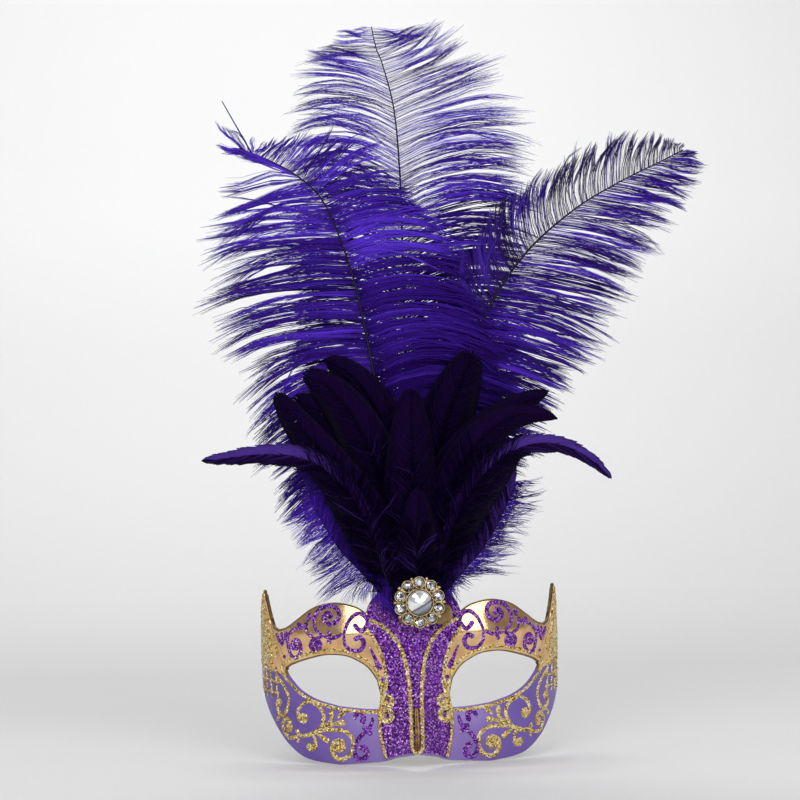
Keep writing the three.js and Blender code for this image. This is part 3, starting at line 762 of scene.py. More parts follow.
def blade_barbs(curve, vane, layer, random):
    """Barbs of both sides. At share b of the blade the half width is width/2 * sin(pi * b^skew)^blunt; a
    barb runs from the quill at b to the outline at b + reach, and beside a split it leans away from it.
    Lean, noise and the painted light on the half that points up and the painted shade on the half that points
    down grow with the fray."""
    lean, noise, tone = (start + rise * vane["fray"] for start, rise in (SPLIT["lean"], TINT_NOISE, PAINTED_TOP_LIGHT))
    b = np.tile((np.arange(BLADE_BARBS) + random.random(BLADE_BARBS)) / BLADE_BARBS, 2)
    side = np.repeat([1.0, -1.0], BLADE_BARBS)
    split = random.uniform(*SPLIT["shares"], (2, SPLIT["count"])).repeat(BLADE_BARBS, 0)
    off = b[:, None] - split
    parting = (np.sign(off) * np.exp(-np.abs(off) / SPLIT["reach"])).sum(1)
    end = b + BLADE_BARB["reach"] * np.sqrt(1 - b) + lean * parting * (1 - b)
    half = 0.5 * vane["width"] * np.sin(np.pi * np.clip(end, 0, 1) ** BLADE_SKEW).clip(0) ** vane["blunt"]
    half *= random.normal(1 - vane["fray"], vane["fray"], len(b)).clip(0, BLADE_BARB["limit"])
    u = np.linspace(0, 1, BLADE_BARB["steps"])
    blade = b[:, None] + (end - b)[:, None] * u ** BLADE_BARB["bend"]
    place, heading = even_places(curve, BLADE_START + (1 - BLADE_START) * blade.clip(0, 1).ravel())
    place, heading = place.reshape(*blade.shape, 2), heading.reshape(blade.shape)
    out = (side * half)[:, None] * u
    flat = place + np.stack([-np.sin(heading), np.cos(heading)], -1) * out[..., None]
    y = fan_depth(flat[..., 0], flat[..., 1], VANE_FAN, layer) + BLADE_CUP * out**2
    y += BLADE_ROUGH * random.normal(size=(len(b), 1))
    paths = np.stack([flat[..., 0], y, flat[..., 1]], -1)
    slim = np.interp(u, *BLADE_SLIM)
    halves = [np.broadcast_to(size * slim, blade.shape) for size in BLADE_BARB["half"]]
    # painted shade: towards its foot every blade goes to one shared low tint, which darkens the light vanes
    tint = BLADE_SHADE + (vane["tint"] - BLADE_SHADE) * smooth_step(*SHADE_STEP, b)
    tint += noise * random.normal(size=len(b))
    # painted light on the half of the blade that points up, painted shade on the half that points down
    tint += tone * np.sign(np.cos(heading[:, 0]) * side)
    return many_tubes(paths, *halves), tint.clip(0, 1)


# %% Make the vane feathers, with loose down at the foot
VANE_DOWN_LOOK = {
    "barbs": 62, "hairs": 2, "steps": 5, "last": 0.62, "locks": 10, "strands": 30, "stray": 0.3,
    "wander": 1.6, "loose": 1.2, "crowd": 1.0, "free": 0.2, "hold": (0.4, 0.4), "clump": (0.2, 0.2),
    "gather": 0.0, "spread": 1.2, "wave": 1.2, "depth": 2.0, "tint": 0.22, "shade": 0.0, "veil": 0.0,
    "ends": (0.85, 0.2), "blunt": 0.7, "girth": (0.19, 0.19), "thick": ([0, 0.6], [1.2, 0.8]), "grip": 1.0,
}
VANE_DOWN_ROWS = [(0.03, 14, 46, 30), (0.15, 22, 42, 30), (0.35, 26, 36, 25), (0.62, 16, 30, 15)]
VANE_DOWN_LIFT = -0.6
rows = np.array(VANE_DOWN_ROWS, float)
for number, row in enumerate(VANES):
    random = np.random.default_rng(VANE_SEED + number)
    vane = dict(zip(VANE_COLUMNS, row))
    layer = BACK_LAYER - LAYER_PITCH * vane["rank"]
    foot = ((number - (len(VANES) - 1) / 2) * VANE_PITCH, QUILL_FOOT)
    tip = (vane["tip_x"], vane["tip_z"])
    curve = handled(foot, (vane["x1"], vane["z1"]), (vane["x2"], vane["z2"]), tip)
    parts = [blade_barbs(curve, vane, layer, random)]
    for side in (LEFT, RIGHT):
        parts.append(side_tubes(curve, rows, side, VANE_DOWN_LOOK, VANE_FAN, layer + VANE_DOWN_LIFT, random))
    quill = quill_tube(curve, VANE_FAN, layer + VANE_QUILL_SINK, *VANE_QUILL)
    name = f"vane_feather_{number + 1:02d}"
    seat(feather_piece(name + "_blade", quill, parts, [quill_horn, vane_dye], [1, 1, 1]), "vane", name)

# %% [markdown]
# ## Tufts of down
#
# Low on either side of the fan a tuft of bright down fills the corner between the feathers and the brow.
# It is the fluffy foot of a plume: short soft barbs with no blade at all, and they wander more than the
# barbs of a plume do. The left tuft hangs in locks, the right one is thin and stands further out.

# %% Down tables
DOWN_STEM = [(-13.3, QUILL_FOOT + 0.35), (-27, 60), (-43, 78), (-54, 97), (-61, 114)]
# A row gives a share of the stem, then length, lean and turn of the outer barbs and of the inner ones.
DOWN_ROWS = [
    (0.0, 13, 150, 5, 12, 30, 20),
    (0.15, 11, 130, 5, 14, 34, 20),
    (0.2, 12, 90, 5, 16, 34, 20),
    (0.25, 27, 66, 6, 18, 34, 20),
    (0.36, 27, 70, 8, 20, 40, 20),
    (0.5, 22, 76, 8, 20, 40, 20),
    (0.75, 22, 84, 8, 18, 40, 15),
    (1, 18, 84, 5, 14, 20, 10),
]
DOWN_LOOK = {
    "barbs": 350, "steps": 6, "last": 0.995, "stray": 0.15, "wander": 0.9, "crowd": 1.0, "free": 0.15,
    "gather": 0.0, "spread": 0.9, "wave": 0.8, "depth": 2.2, "veil": 0.0, "shade": 0.0, "blunt": 0.7,
    "grip": 1.0,
}
DOWN_INNER = {
    "barbs": 300, "hairs": 3, "ends": (0.95, 0.1), "girth": (0.27, 0.27), "hold": (0, 0), "clump": (0, 0),
}
DOWN_SIDES = {
    "down_left": {
        "outer": half_look(
            11, 44, (0.5, 0.5), (0.6, 0.6), ([0, 1], [1, 1]),
            hairs=2, loose=0.9, tint=0.7, ends=(0.83, 0.16), girth=(0.11, 0.11), shade=0.3,
        ),
        "inner": {"tint": 0.12}, "inner_dye": 1, "lean": 14, "side": LEFT,
    },
    "down_right": {
        "outer": half_look(
            16, 60, (0.5, 0.5), (0.3, 0.3), ([0, 0.3], [1.4, 1.2]),
            hairs=3, loose=1.8, tint=0.1, ends=(0.4, 0.4), girth=(0.1, 0.1),
        ),
        "inner": {"tint": 0.42}, "inner_dye": 2, "lean": -22, "side": RIGHT,
    },
}
DOWN_LAYER = 3.4
DOWN_QUILL = (0.35, 0.12)
DOWN_SEED = 300
print("tufts:", len(DOWN_SIDES))

# %% Make the tufts
rows = np.array(DOWN_ROWS, float)
for number, (name, tuft) in enumerate(DOWN_SIDES.items()):
    random = np.random.default_rng(DOWN_SEED + number)
    side = tuft["side"]
    curve = through([(side * x, z) for x, z in DOWN_STEM])
    outer_look = {**DOWN_LOOK, **tuft["outer"]}
    inner_look = {**outer_look, **DOWN_INNER, **tuft["inner"]}
    outer_rows = rows[:, LEFT_COLUMNS] + (0, 0, tuft["lean"], 0)
    halves = ((side, outer_rows, outer_look), (-side, rows[:, RIGHT_COLUMNS], inner_look))
    parts = [side_tubes(curve, half, way, look, VANE_FAN, DOWN_LAYER, random) for way, half, look in halves]
    quill = quill_tube(curve, VANE_FAN, DOWN_LAYER, *DOWN_QUILL)
    finishes = [quill_horn, down_dye, vane_dye]
    seat(feather_piece(name + "_barbs", quill, parts, finishes, [1, tuft["inner_dye"]]), "down", name)

# %% [markdown]
# ## Mask wall
#
# The mask is a stiff wall about two millimetres thick, pressed over a form: a wide arc across the face, a
# tight arc round each temple, and low hills for nose, brow and cheeks. One function gives the surface for a
# distance along the face and a height. The wall is then a closed grid: from the eye hole to the outline on
# the front, round the rim, back along the inside and round the rim of the eye hole.

# %% Form of the face
WALL = 2.2
FACE_RADIUS = 130.0
FACE_ANGLE = np.radians(25)
TEMPLE_RADIUS = 60.0
BRIDGE_SETBACK = 5.0
NOSE = {"height": 17.0, "width": 12.5, "top": 45.0, "fall": 88.0, "power": 1.3}
BROW = {"height": 4.5, "x": 42.0, "z": 27.0, "width": 24.0, "rise": 11.0}
CHEEK = {"height": 3.5, "x": 40.0, "z": -32.0, "width": 26.0, "rise": 13.0}
FOREHEAD = {"z": 20.0, "curve": 420.0}
JAW = {"z": -20.0, "curve": 320.0}


def hill(x, z, form):
    """Soft hill: its height times exp of minus the squared distances from its middle, across and up."""
    up, across = (z - form["z"]) / form["rise"], (x - form["x"]) / form["width"]
    return form["height"] * np.exp(-(up**2) - across**2)


def face_point(along, z):
    """Surface of the mask: the wide arc up to its angle, then the tight arc, less the hills and the nose,
    and leaning back as the square of the height above the forehead and below the jaw."""
    reach = np.abs(along)
    face = np.minimum(reach / FACE_RADIUS, FACE_ANGLE)
    temple = FACE_ANGLE + np.maximum(0, reach - FACE_RADIUS * FACE_ANGLE) / TEMPLE_RADIUS
    x = FACE_RADIUS * np.sin(face) + TEMPLE_RADIUS * (np.sin(temple) - np.sin(FACE_ANGLE))
    depth = FACE_RADIUS * (1 - np.cos(face)) + TEMPLE_RADIUS * (np.cos(FACE_ANGLE) - np.cos(temple))
    nose = NOSE["height"] * np.maximum(0, (NOSE["top"] - z) / NOSE["fall"]) ** NOSE["power"]
    nose = nose * np.exp(-((x / NOSE["width"]) ** 2))
    back = np.maximum(0, z - FOREHEAD["z"]) ** 2 / FOREHEAD["curve"]
    back = back + np.maximum(0, JAW["z"] - z) ** 2 / JAW["curve"]
    y = BRIDGE_SETBACK + depth + back - nose - hill(x, z, BROW) - hill(x, z, CHEEK)
    return np.stack([np.sign(along) * x, y, z], -1)


def on_face(along, z, lift, step=0.05):
    """Point lifted off the surface along its normal, which is the step across times the step up."""
    across = face_point(along + step, z) - face_point(along - step, z)
    up = face_point(along, z + step) - face_point(along, z - step)
    out = np.cross(across, up)
    out /= np.linalg.norm(out, axis=-1, keepdims=True)
    return face_point(along, z) + out * lift[..., None]


sample = face_point(np.array([0.0, 100.0]), np.zeros(2))
print("depth of the mask in its middle and 100 mm aside:", sample[:, 1].round(1))

# %% Outline and eye hole
HALF_OUTLINE = {
    "crest": (4, [(0, 62), (13, 57.5), (24.5, 47.2)], [(22.4, 0), (25.2, 4.4), (27.6, 7.3)]),
    "notch": (2, [(24.5, 47.2), (26.8, 43), (27.9, 39.8)], [(27.6, 7.3), (30, 9.2)]),
    "brow": (
        12,
        [(27.9, 39.8), (35, 43.6), (47.5, 45.5), (60.3, 42.6), (72, 35.6), (81, 30.4), (89, 28.4)],
        [(30, 9.2), (38.5, 13.4), (47, 14.6), (55.5, 14), (68, 10.9), (77, 8)],
    ),
    "horn_front": (5, [(89, 28.4), (96.5, 31.5), (102, 39), (109, 50.5)], [(77, 8), (82.7, 5.1)]),
    "horn_back": (5, [(109, 50.5), (116, 40), (120, 25), (121, 10)], [(82.7, 5.1), (80, 1.6)]),
    "cheek": (
        12,
        [(121, 10), (119, -6), (105, -19.5), (94.7, -28), (81.3, -39), (66.6, -46.8), (45, -49.8)],
        [(80, 1.6), (72.5, -4.7), (65, -8.9), (57, -11.9), (45, -14.7)],
    ),
    "nose_edge": (
        6,
        [(45, -49.8), (24.6, -48.1), (17.5, -46.8), (10.4, -43.7), (0, -40.9)],
        [(45, -14.7), (30, -16.1), (20, -16.2)],
    ),
    "centre_line": (8, [(0, -40.9), (0, 62)], [(20, -16.2), (20.3, -10), (22.4, 0)]),
}
FINER = 5
edge_parts, eye_parts, stretch_of = [], [], []
for number, (steps, edge_points, eye_points) in enumerate(HALF_OUTLINE.values()):
    shares = np.arange(steps * FINER) / (steps * FINER)
    edge_parts.append(even_places(through(edge_points), shares)[0])
    eye_parts.append(even_places(through(eye_points), shares)[0])
    stretch_of.append(np.full(len(shares), number))
edge_line, eye_line, stretch_of = (np.concatenate(part) for part in (edge_parts, eye_parts, stretch_of))
STRETCH = {name: number for number, name in enumerate(HALF_OUTLINE)}
joined_up = stretch_of == STRETCH["centre_line"]


def away(line, towards):
    """Unit direction square to a closed line, on the side that it is meant to point towards."""
    slope = np.roll(line, -1, 0) - np.roll(line, 1, 0)
    square = np.stack([slope[:, 1], -slope[:, 0]], 1)
    square *= np.sign((square * towards).sum(1, keepdims=True))
    return square / np.linalg.norm(square, axis=1, keepdims=True)


edge_out = away(edge_line, edge_line - eye_line)
eye_out = away(eye_line, edge_line - eye_line)
edge_out[joined_up] = 0
edge_out[0] = (0, 1)
edge_out[np.argmax(joined_up)] = (0, -1)
print("outline points on each half:", len(edge_line))

# %% Finishes of the wall
NOISE_DETAIL = 3.0
ROUGH_NOISE = (0.3, 0.7)


def add_noise(tree, place, grain):
    """Noise whose grain is a size in millimetres."""
    settings = {"Vector": place, "Scale": 1 / (grain * MM), "Detail": NOISE_DETAIL}
    return add_node(tree, "ShaderNodeTexNoise", inputs=settings).outputs["Fac"]


def add_range(tree, value, source, target):
    """Value carried evenly from one range to another, and held at its limits."""
    names = ("Value", "From Min", "From Max", "To Min", "To Max")
    limits = dict(zip(names, (value, *source, *target)))
    return add_node(tree, "ShaderNodeMapRange", inputs=limits).outputs["Result"]


def mottled(name, sockets, stops, grain, relief_grain, relief_depth, rough=None):
    """Finish whose colour, and roughness if given, follow one noise, and whose relief follows a finer one.
    Grains and depth are in millimetres."""
    material, tree, shader = new_material(name, sockets)
    place = object_places(tree)
    patches = add_noise(tree, place, grain)
    paint(tree, shader, patches, stops)
    if rough:
        tree.links.new(add_range(tree, patches, ROUGH_NOISE, rough), shader.inputs["Roughness"])
    relief = {"Height": add_noise(tree, place, relief_grain), "Distance": relief_depth * MM}
    bump = add_node(tree, "ShaderNodeBump", inputs=relief)
    tree.links.new(bump.outputs["Normal"], shader.inputs["Normal"])
    return material


gold_leaf = mottled(
    "gold_leaf", {"Metallic": 1.0},
    [(0.3, (0.70, 0.41, 0.17)), (0.55, (0.88, 0.57, 0.28)), (0.75, (0.94, 0.69, 0.42))],
    9, 5, 0.12, rough=(0.08, 0.2),
)
rim_gold = mottled(
    "rim_gold", {"Metallic": 0.75, "Roughness": 0.42},
    [(0.3, (0.16, 0.10, 0.045)), (0.7, (0.34, 0.23, 0.10))], 3, 1.2, 0.1,
)
inner_paint = mottled(
    "inner_paint", {"Metallic": 0.2, "Roughness": 0.62},
    [(0.3, (0.13, 0.09, 0.05)), (0.7, (0.21, 0.15, 0.085))], 14, 2.5, 0.25,
)
violet_paint = mottled(
    "violet_paint", {"Roughness": 0.36, "Coat Weight": 0.12, "Coat Roughness": 0.3},
    [(0.3, (0.125, 0.066, 0.34)), (0.7, (0.17, 0.10, 0.43))], 22, 1.6, 0.05,
)
print("wall finishes ready")

# %% Painted sheen: lighter violet beside the nose
# painted sheen: the violet is blended lighter near the nose
PAINTED_SHEEN_VIOLET = (0.30, 0.20, 0.52, 1)
PAINTED_SHEEN_REACH = (22.0 * MM, 58.0 * MM)
PAINTED_SHEEN_WEIGHT = (0.75, 0.0)
violet_tree = violet_paint.node_tree
violet_colour = violet_tree.nodes["Principled BSDF"].inputs["Base Color"]
mottle = violet_colour.links[0].from_socket
place = add_node(violet_tree, "ShaderNodeSeparateXYZ", inputs={"Vector": object_places(violet_tree)})
aside = add_node(violet_tree, "ShaderNodeMath", {"operation": "ABSOLUTE"}, {0: place.outputs["X"]})
# painted sheen, strongest beside the nose
painted_sheen = add_range(violet_tree, aside.outputs[0], PAINTED_SHEEN_REACH, PAINTED_SHEEN_WEIGHT)
terms = {"Factor": painted_sheen, "B": PAINTED_SHEEN_VIOLET}
blend = add_node(violet_tree, "ShaderNodeMix", {"data_type": "RGBA"}, terms)
violet_tree.links.new(mottle, blend.inputs["A"])
violet_tree.links.new(blend.outputs["Result"], violet_colour)
print("violet is lighter up to", round(PAINTED_SHEEN_REACH[1] / MM), "mm from the middle")

# %% Wall
FRONT_ROWS, INNER_ROWS, RIM_STEPS = 33, 13, 6
half_wall = WALL / 2
turn = np.linspace(0, np.pi, RIM_STEPS + 1)[1:-1]
start, finish = eye_line + half_wall * eye_out, edge_line - half_wall * edge_out
front = start[:, None] + (finish - start)[:, None] * np.linspace(0, 1, FRONT_ROWS)[:, None]
inside = start[:, None] + (finish - start)[:, None] * np.linspace(1, 0, INNER_ROWS)[:, None]
edge_rim = finish[:, None] + edge_out[:, None] * (half_wall * np.sin(turn))[:, None]
eye_rim = start[:, None] - eye_out[:, None] * (half_wall * np.sin(turn))[:, None]
flat = np.concatenate([front, edge_rim, inside, eye_rim], 1)
row_depths = [np.zeros(FRONT_ROWS), half_wall * (1 - np.cos(turn)), np.full(INNER_ROWS, WALL)]
row_depth = np.concatenate([*row_depths, half_wall * (1 + np.cos(turn))])
columns, rows = flat.shape[:2]
quads = grid_quads(columns, rows, close_rows=True, close_columns=True)
column, row = np.divmod(np.arange(columns * rows), rows)
on_front = row < FRONT_ROWS - 1
on_edge_rim = (row >= FRONT_ROWS - 1) & (row < FRONT_ROWS - 1 + RIM_STEPS)
on_rim = on_edge_rim | (row >= rows - RIM_STEPS)
violet = np.isin(stretch_of[column], [STRETCH["cheek"], STRETCH["nose_edge"]])
finish_of = np.select([on_front | (on_rim & violet), on_rim], [violet * 1, 2], 3)
kept = ~(on_edge_rim & joined_up[column])
halves = []
for side in (1, -1):
    wall_points = on_face(side * flat[..., 0], flat[..., 1], np.broadcast_to(-row_depth, flat.shape[:2]))
    corners = [0, 1, 2, 3] if side > 0 else [0, 3, 2, 1]
    halves.append((wall_points.reshape(-1, 3), quads[kept][:, corners]))
wall_finishes = [gold_leaf, violet_paint, rim_gold, inner_paint]
wall = new_piece("mask_wall", *joined(halves), wall_finishes, face_material=np.tile(finish_of[kept], 2))
seat(weld(wall), "mask", "mask_shell")

# %% [markdown]
# ## Glitter
#
# The middle of the mask is covered with violet glitter, and lines and scrolls of gold and violet glitter
# glue are drawn over the rest. A real line of glitter glue is a low bead full of tiny flakes that lie at all
# angles. Bump alone would leave the outline smooth, so the bead is a real mesh with a grainy surface; its
# finish then gives every flake a colour and a tilt of its own. The colours differ at random, and the
# lightest of them are painted glints.

# %% Glitter finish
# flake colours differ at random; the near-white last stop is painted glints
VIOLET_FLAKES_AND_GLINTS = [
    (0.0, (0.03, 0.003, 0.08)), (0.35, (0.15, 0.012, 0.33)),
    (0.7, (0.29, 0.05, 0.58)), (0.95, (0.80, 0.46, 0.96)),
]
# flake colours differ at random; the pale last stop is painted glints
GOLD_FLAKES_AND_GLINTS = [
    (0.0, (0.14, 0.06, 0.01)), (0.25, (0.56, 0.34, 0.05)),
    (0.6, (0.90, 0.65, 0.16)), (0.88, (1.0, 0.95, 0.66)),
]
FLAKE = 0.75


def glitter(name, stops, flake, tilt, sockets):
    """Flakes are cells of a size in millimetres. Each has one colour of the ramp and one normal, which is
    the surface's plus the tilt times the cell's own colour less grey."""
    material, tree, shader = new_material(name, sockets)

    def vector(operation, inputs):
        return add_node(tree, "ShaderNodeVectorMath", {"operation": operation}, inputs).outputs[0]

    size = {"Vector": object_places(tree), "Scale": 1 / (flake * MM)}
    cells = add_node(tree, "ShaderNodeTexVoronoi", inputs=size).outputs["Color"]
    channels = add_node(tree, "ShaderNodeSeparateColor", inputs={"Color": cells})
    # the ramp's lightest colours are painted glints; on the foil glass all of them are painted reflections
    paint(tree, shader, channels.outputs["Red"], stops)
    surface = tree.nodes.new("ShaderNodeNewGeometry").outputs["Normal"]
    centred = vector("SUBTRACT", {0: cells, 1: (0.5, 0.5, 0.5)})
    leaning = vector("ADD", {0: surface, 1: vector("SCALE", {0: centred, "Scale": tilt})})
    tree.links.new(vector("NORMALIZE", {0: leaning}), shader.inputs["Normal"])
    return material


violet_glitter = glitter("violet_glitter", VIOLET_FLAKES_AND_GLINTS, FLAKE, 1.7, {"Metallic": 0.5, "Roughness": 0.25})
gold_glitter = glitter("gold_glitter", GOLD_FLAKES_AND_GLINTS, FLAKE, 1.6, {"Metallic": 0.35, "Roughness": 0.25})
print("glitter finishes ready")

# %% Glitter sheets
GRAIN = 0.7
GRAIN_SHIFT = 0.22
SHEET_LIFT = 0.4
SHEET_ROUGH = 0.13
SHEET_SINK = 0.35


def glitter_sheet(left, middle, right, rows, columns, random):
    """Closed grainy sheet on the face: in every row the places run from left over middle to right along a
    parabola, the front is lifted by a random height and the back is sunk into the wall."""
    u = np.linspace(-1, 1, columns)[:, None]
    share = np.linspace(0, 1, rows)
    left, middle, right = (even_places(through(line), share)[0][:, None] for line in (left, middle, right))
    flat = middle + 0.5 * (right - left) * u + (0.5 * (left + right) - middle) * u**2
    lift = SHEET_LIFT + SHEET_ROUGH * random.normal(size=flat.shape[:2])
    flat = flat + GRAIN_SHIFT * GRAIN * random.normal(size=flat.shape)
    front_points = on_face(flat[..., 0], flat[..., 1], lift).reshape(-1, 3)
    back_points = on_face(flat[..., 0], flat[..., 1], np.full(lift.shape, -SHEET_SINK)).reshape(-1, 3)
    return np.concatenate([front_points, back_points]), sheet_faces(rows, columns)


# %% Panel of violet glitter
# A row gives the edge's distance along the face and its height, then the height of the middle.
PANEL = np.array(
    [
        (2.5, 60.6, 61.0),
        (13, 56.7, 58.5),
        (23.9, 46.6, 52),
        (27.2, 39.2, 46),
        (27.9, 31, 37),
        (23.3, 24, 28),
        (20, 17.5, 19.5),
        (17.5, 8, 9),
        (16.4, -0.5, -0.5),
        (18, -7.6, -8),
        (19.9, -14, -14),
        (20.9, -21, -20.5),
        (20.8, -30, -28),
        (19.4, -37.5, -34),
        (17.4, -45.4, -40.2),
    ]
)
PANEL_SEED = 400
PANEL_GRID = (150, 64)
random = np.random.default_rng(PANEL_SEED)
edge_right = PANEL[:, :2]
edge_left = edge_right * (-1, 1)
middle_line = np.stack([0 * PANEL[:, 2], PANEL[:, 2]], 1)
panel = glitter_sheet(edge_left, middle_line, edge_right, *PANEL_GRID, random)
seat(new_piece("violet_panel", *panel, [violet_glitter], smooth=False), "mask")

# %% Lines of glitter glue
BEAD_STEP = 0.6
BEAD_SECTION = np.linspace(np.pi, 0, 6)
BEAD_SINK = 0.3
LINE_WEIGHT = 1.5
CAP_LEAST = 0.03
CAP_POWER = 0.7
LIFT_GRAIN = 1.2


def glue_line(points, widths, height, random, grain=0.1):
    """Bead along a line on the face: a half ellipse of the local width and height, with round ends whose
    width follows a circle, and every point moved a little by chance."""
    curve = through(points)
    length = np.linalg.norm(np.diff(curve, axis=0), axis=1).sum()
    share = np.linspace(0, 1, max(4, int(length / BEAD_STEP) + 1))
    place, heading = even_places(curve, share)
    width = LINE_WEIGHT * np.interp(share, np.linspace(0, 1, len(widths)), widths)
    to_end = length * np.minimum(share, 1 - share)
    cap = np.sqrt(np.clip(1 - np.clip(1 - 2 * to_end / width, 0, 1) ** 2, CAP_LEAST, 1))
    across = 0.5 * (width * cap)[:, None] * np.cos(BEAD_SECTION)
    lift = (height * cap**CAP_POWER + BEAD_SINK)[:, None] * np.sin(BEAD_SECTION) - BEAD_SINK
    along = place[:, :1] - np.sin(heading)[:, None] * across + grain * random.normal(size=across.shape)
    z = place[:, 1:] + np.cos(heading)[:, None] * across + grain * random.normal(size=across.shape)
    lift = lift + LIFT_GRAIN * grain * random.normal(size=lift.shape) * np.sin(BEAD_SECTION)
    return on_face(along, z, lift).reshape(-1, 3), tube_faces(len(share), len(BEAD_SECTION))


def mirrored(strokes, height, random):
    """Beads for strokes given for the right half: each once as it is and once on the left."""
    beads = []
    for widths, points in strokes:
        for side in (1, -1):
            beads.append(glue_line(np.multiply(points, (side, 1)), widths, height, random))
    return beads


def drops(places):
    """Strokes for round drops of glue: a line as long as it is wide, so that only its round ends are left."""
    return [((2 * r / LINE_WEIGHT,) * 2, [(s - r, z), (s, z), (s + r, z)]) for s, z, r in places]


def glitter_piece(name, parts, material):
    """Beads or sheets as one piece on the mask, with flat faces so that every grain shows."""
    seat(new_piece(name, *joined(parts), [material], smooth=False), "mask")


print("a bead has", len(BEAD_SECTION), "points across")

# %% Violet scrolls on the brow and beside the nose
BROW_SCROLLS = [
    ((1.4, 2.0, 2.2), [
        (41.5, 27.5), (38, 35), (33, 39), (28.5, 37.5), (27, 33.5), (30, 29.5), (33, 30.5), (35, 33.5),
    ]),
    ((1.4, 2.0, 2.2), [
        (41.5, 27.5), (40.5, 21), (36, 17.5), (31, 18.5), (29.5, 22.5), (31.5, 25.5), (35, 24.5),
    ]),
    ((1.4, 2.0, 2.0, 2.6), [
        (54, 26), (59, 30), (59.5, 36.5), (55, 42), (49, 43.2), (44.5, 41), (44.5, 36), (49.5, 33),
        (53.5, 36), (51, 39), (48.5, 37.5),
    ]),
    ((1.4, 2.0, 1.4), [(42, 27.5), (47, 25.5), (50.5, 25.5), (54, 26)]),
    ((1.0, 2.6), [(49.5, 26), (50.5, 29.5)]),
    ((1.0, 2.6), [(49.5, 25.5), (51, 21.5)]),
    ((1.4, 2.2, 2.6), [(54, 26), (60, 24), (62.5, 21), (60, 17.5), (56.5, 19.5), (57, 22.5), (59.5, 21)]),
    ((2.6, 1.2), [(62, 39), (64.5, 34)]),
    ((2.8, 1.4), [(65.5, 34), (65, 28)]),
    ((2.8, 1.2), [(72, 32.5), (67, 31)]),
    ((1.4, 1.6, 1.4), [(65, 28), (62.5, 26), (60, 25.5)]),
    ((1.4, 2.0, 2.0, 2.6), [
        (67, 30.5), (73.5, 29.5), (79, 25), (79.5, 19.5), (77, 13.5), (73, 12.5), (69.5, 16.5), (70.5, 22),
        (74, 22.5), (76, 19), (73, 18),
    ]),
    ((2.4, 1.0), [(91, 26), (84.5, 18.5)]),
    ((2.4, 1.0), [(85.5, 27), (84.5, 20)]),
    ((2.4, 1.0), [(80.5, 28), (84, 19.5)]),
    ((0.9, 1.6, 3.2), [(26, 20), (23, 13), (20, 6)]),
]
BROW_DROPS = [
    (83, 12.5, 1.3), (18.6, 1, 1.7), (49.6, 37.6, 1.9), (73.2, 18.6, 2.2), (59, 20.8, 1.8),
    (34.2, 32.2, 1.5), (34.2, 24.6, 1.6),
]
NOSE_SCROLLS = [
    ((1.8, 2.2, 2.6), [(36, -22.5), (35, -20), (32.5, -19), (30.5, -21.5), (32, -25)]),
    ((1.6, 2.0, 2.2, 2.8), [
        (25, -21), (27, -27), (33, -32.5), (35.5, -37), (36.5, -40.5), (34.5, -45.5), (30, -45),
        (29, -41.5), (31, -38.5), (33, -40),
    ]),
    ((1.2, 2.8), [(27, -27), (31.5, -27.5)]),
    ((1.2, 2.8), [(28, -28.5), (26, -31.5)]),
]
BROW_SEED = 410
VIOLET_HEIGHT = 0.6
random = np.random.default_rng(BROW_SEED)
violet_beads = mirrored(BROW_SCROLLS + drops(BROW_DROPS) + NOSE_SCROLLS, VIOLET_HEIGHT, random)
glitter_piece("violet_scrolls", violet_beads, violet_glitter)

# %% Gold scrolls on the cheeks
CHEEK_SCROLLS = [
    ((1.2, 1.8, 2.0, 3.0), [
        (64, -12.5), (66.5, -13.5), (69.5, -15), (72.5, -19), (71.5, -23), (68.5, -24.5), (67, -22),
    ]),
    ((1.6, 1.8, 1.8), [
        (64, -12.5), (58, -15.5), (55, -20), (56, -25.5), (59.5, -30), (66, -32.5), (72, -33),
    ]),
    ((1.6, 1.8, 2.0, 2.6), [
        (66, -32), (58, -29.5), (49.5, -28.5), (42.5, -29), (38, -32.5), (37, -37), (38.5, -42.5),
        (43, -46), (47.5, -45.3), (50, -41), (49, -36.5), (44.5, -35), (42.8, -38),
    ]),
    ((1.8, 1.8, 2.2), [
        (72, -33.5), (79.5, -35), (84.5, -31.5), (85.5, -27), (82, -24), (78.5, -27), (79.5, -30.5),
        (82, -29.5),
    ]),
    ((1.4, 1.8, 2.2), [(62.5, -31.2), (60.6, -35), (60.8, -39.6), (64, -41), (65.5, -39), (63.5, -37.5)]),
    ((1.0, 1.8, 2.8), [(60, -30.3), (56.5, -32.8), (53, -35)]),
    ((2.6, 1.2), [(74.5, -29.5), (71, -33.5)]),
    ((1.6, 1.2), [(72, -34), (73.5, -37.5)]),
    ((1.2, 1.6, 2.8), [(55, -27), (50, -22.5), (50.5, -17)]),
    ((1.2, 2.4), [(46.5, -21.5), (41.5, -18)]),
    ((1.2, 1.6, 3.0), [(55, -28.5), (49.5, -25.5), (41.5, -24)]),
    ((1.6, 1.8, 2.4), [
        (91.5, 1), (84.5, -4), (80, -11), (81, -17.5), (85, -22), (90, -20), (91, -15.5), (88.5, -13),
    ]),
    ((1.2, 2.4), [(88, -22), (92, -26)]),
]
CHEEK_DROPS = [
    (68.6, -22.4, 3.2), (45.4, -38.6, 3.9), (88.6, -14.5, 2.6), (81.2, -28.8, 2.2), (63, -39, 2.0),
    (53.2, -34.8, 1.7),
]
EYE_CURLS = [
    ((2.0, 2.2, 2.4), [(19.5, -8), (17.2, -8.6), (13.6, -10.5), (14.3, -14), (17.2, -13.2), (16.4, -11)]),
    ((2.2, 2.4, 2.4), [(19.5, -16.5), (15, -17), (14, -21), (17.5, -23.5), (19.8, -20.5), (17, -19.5)]),
]
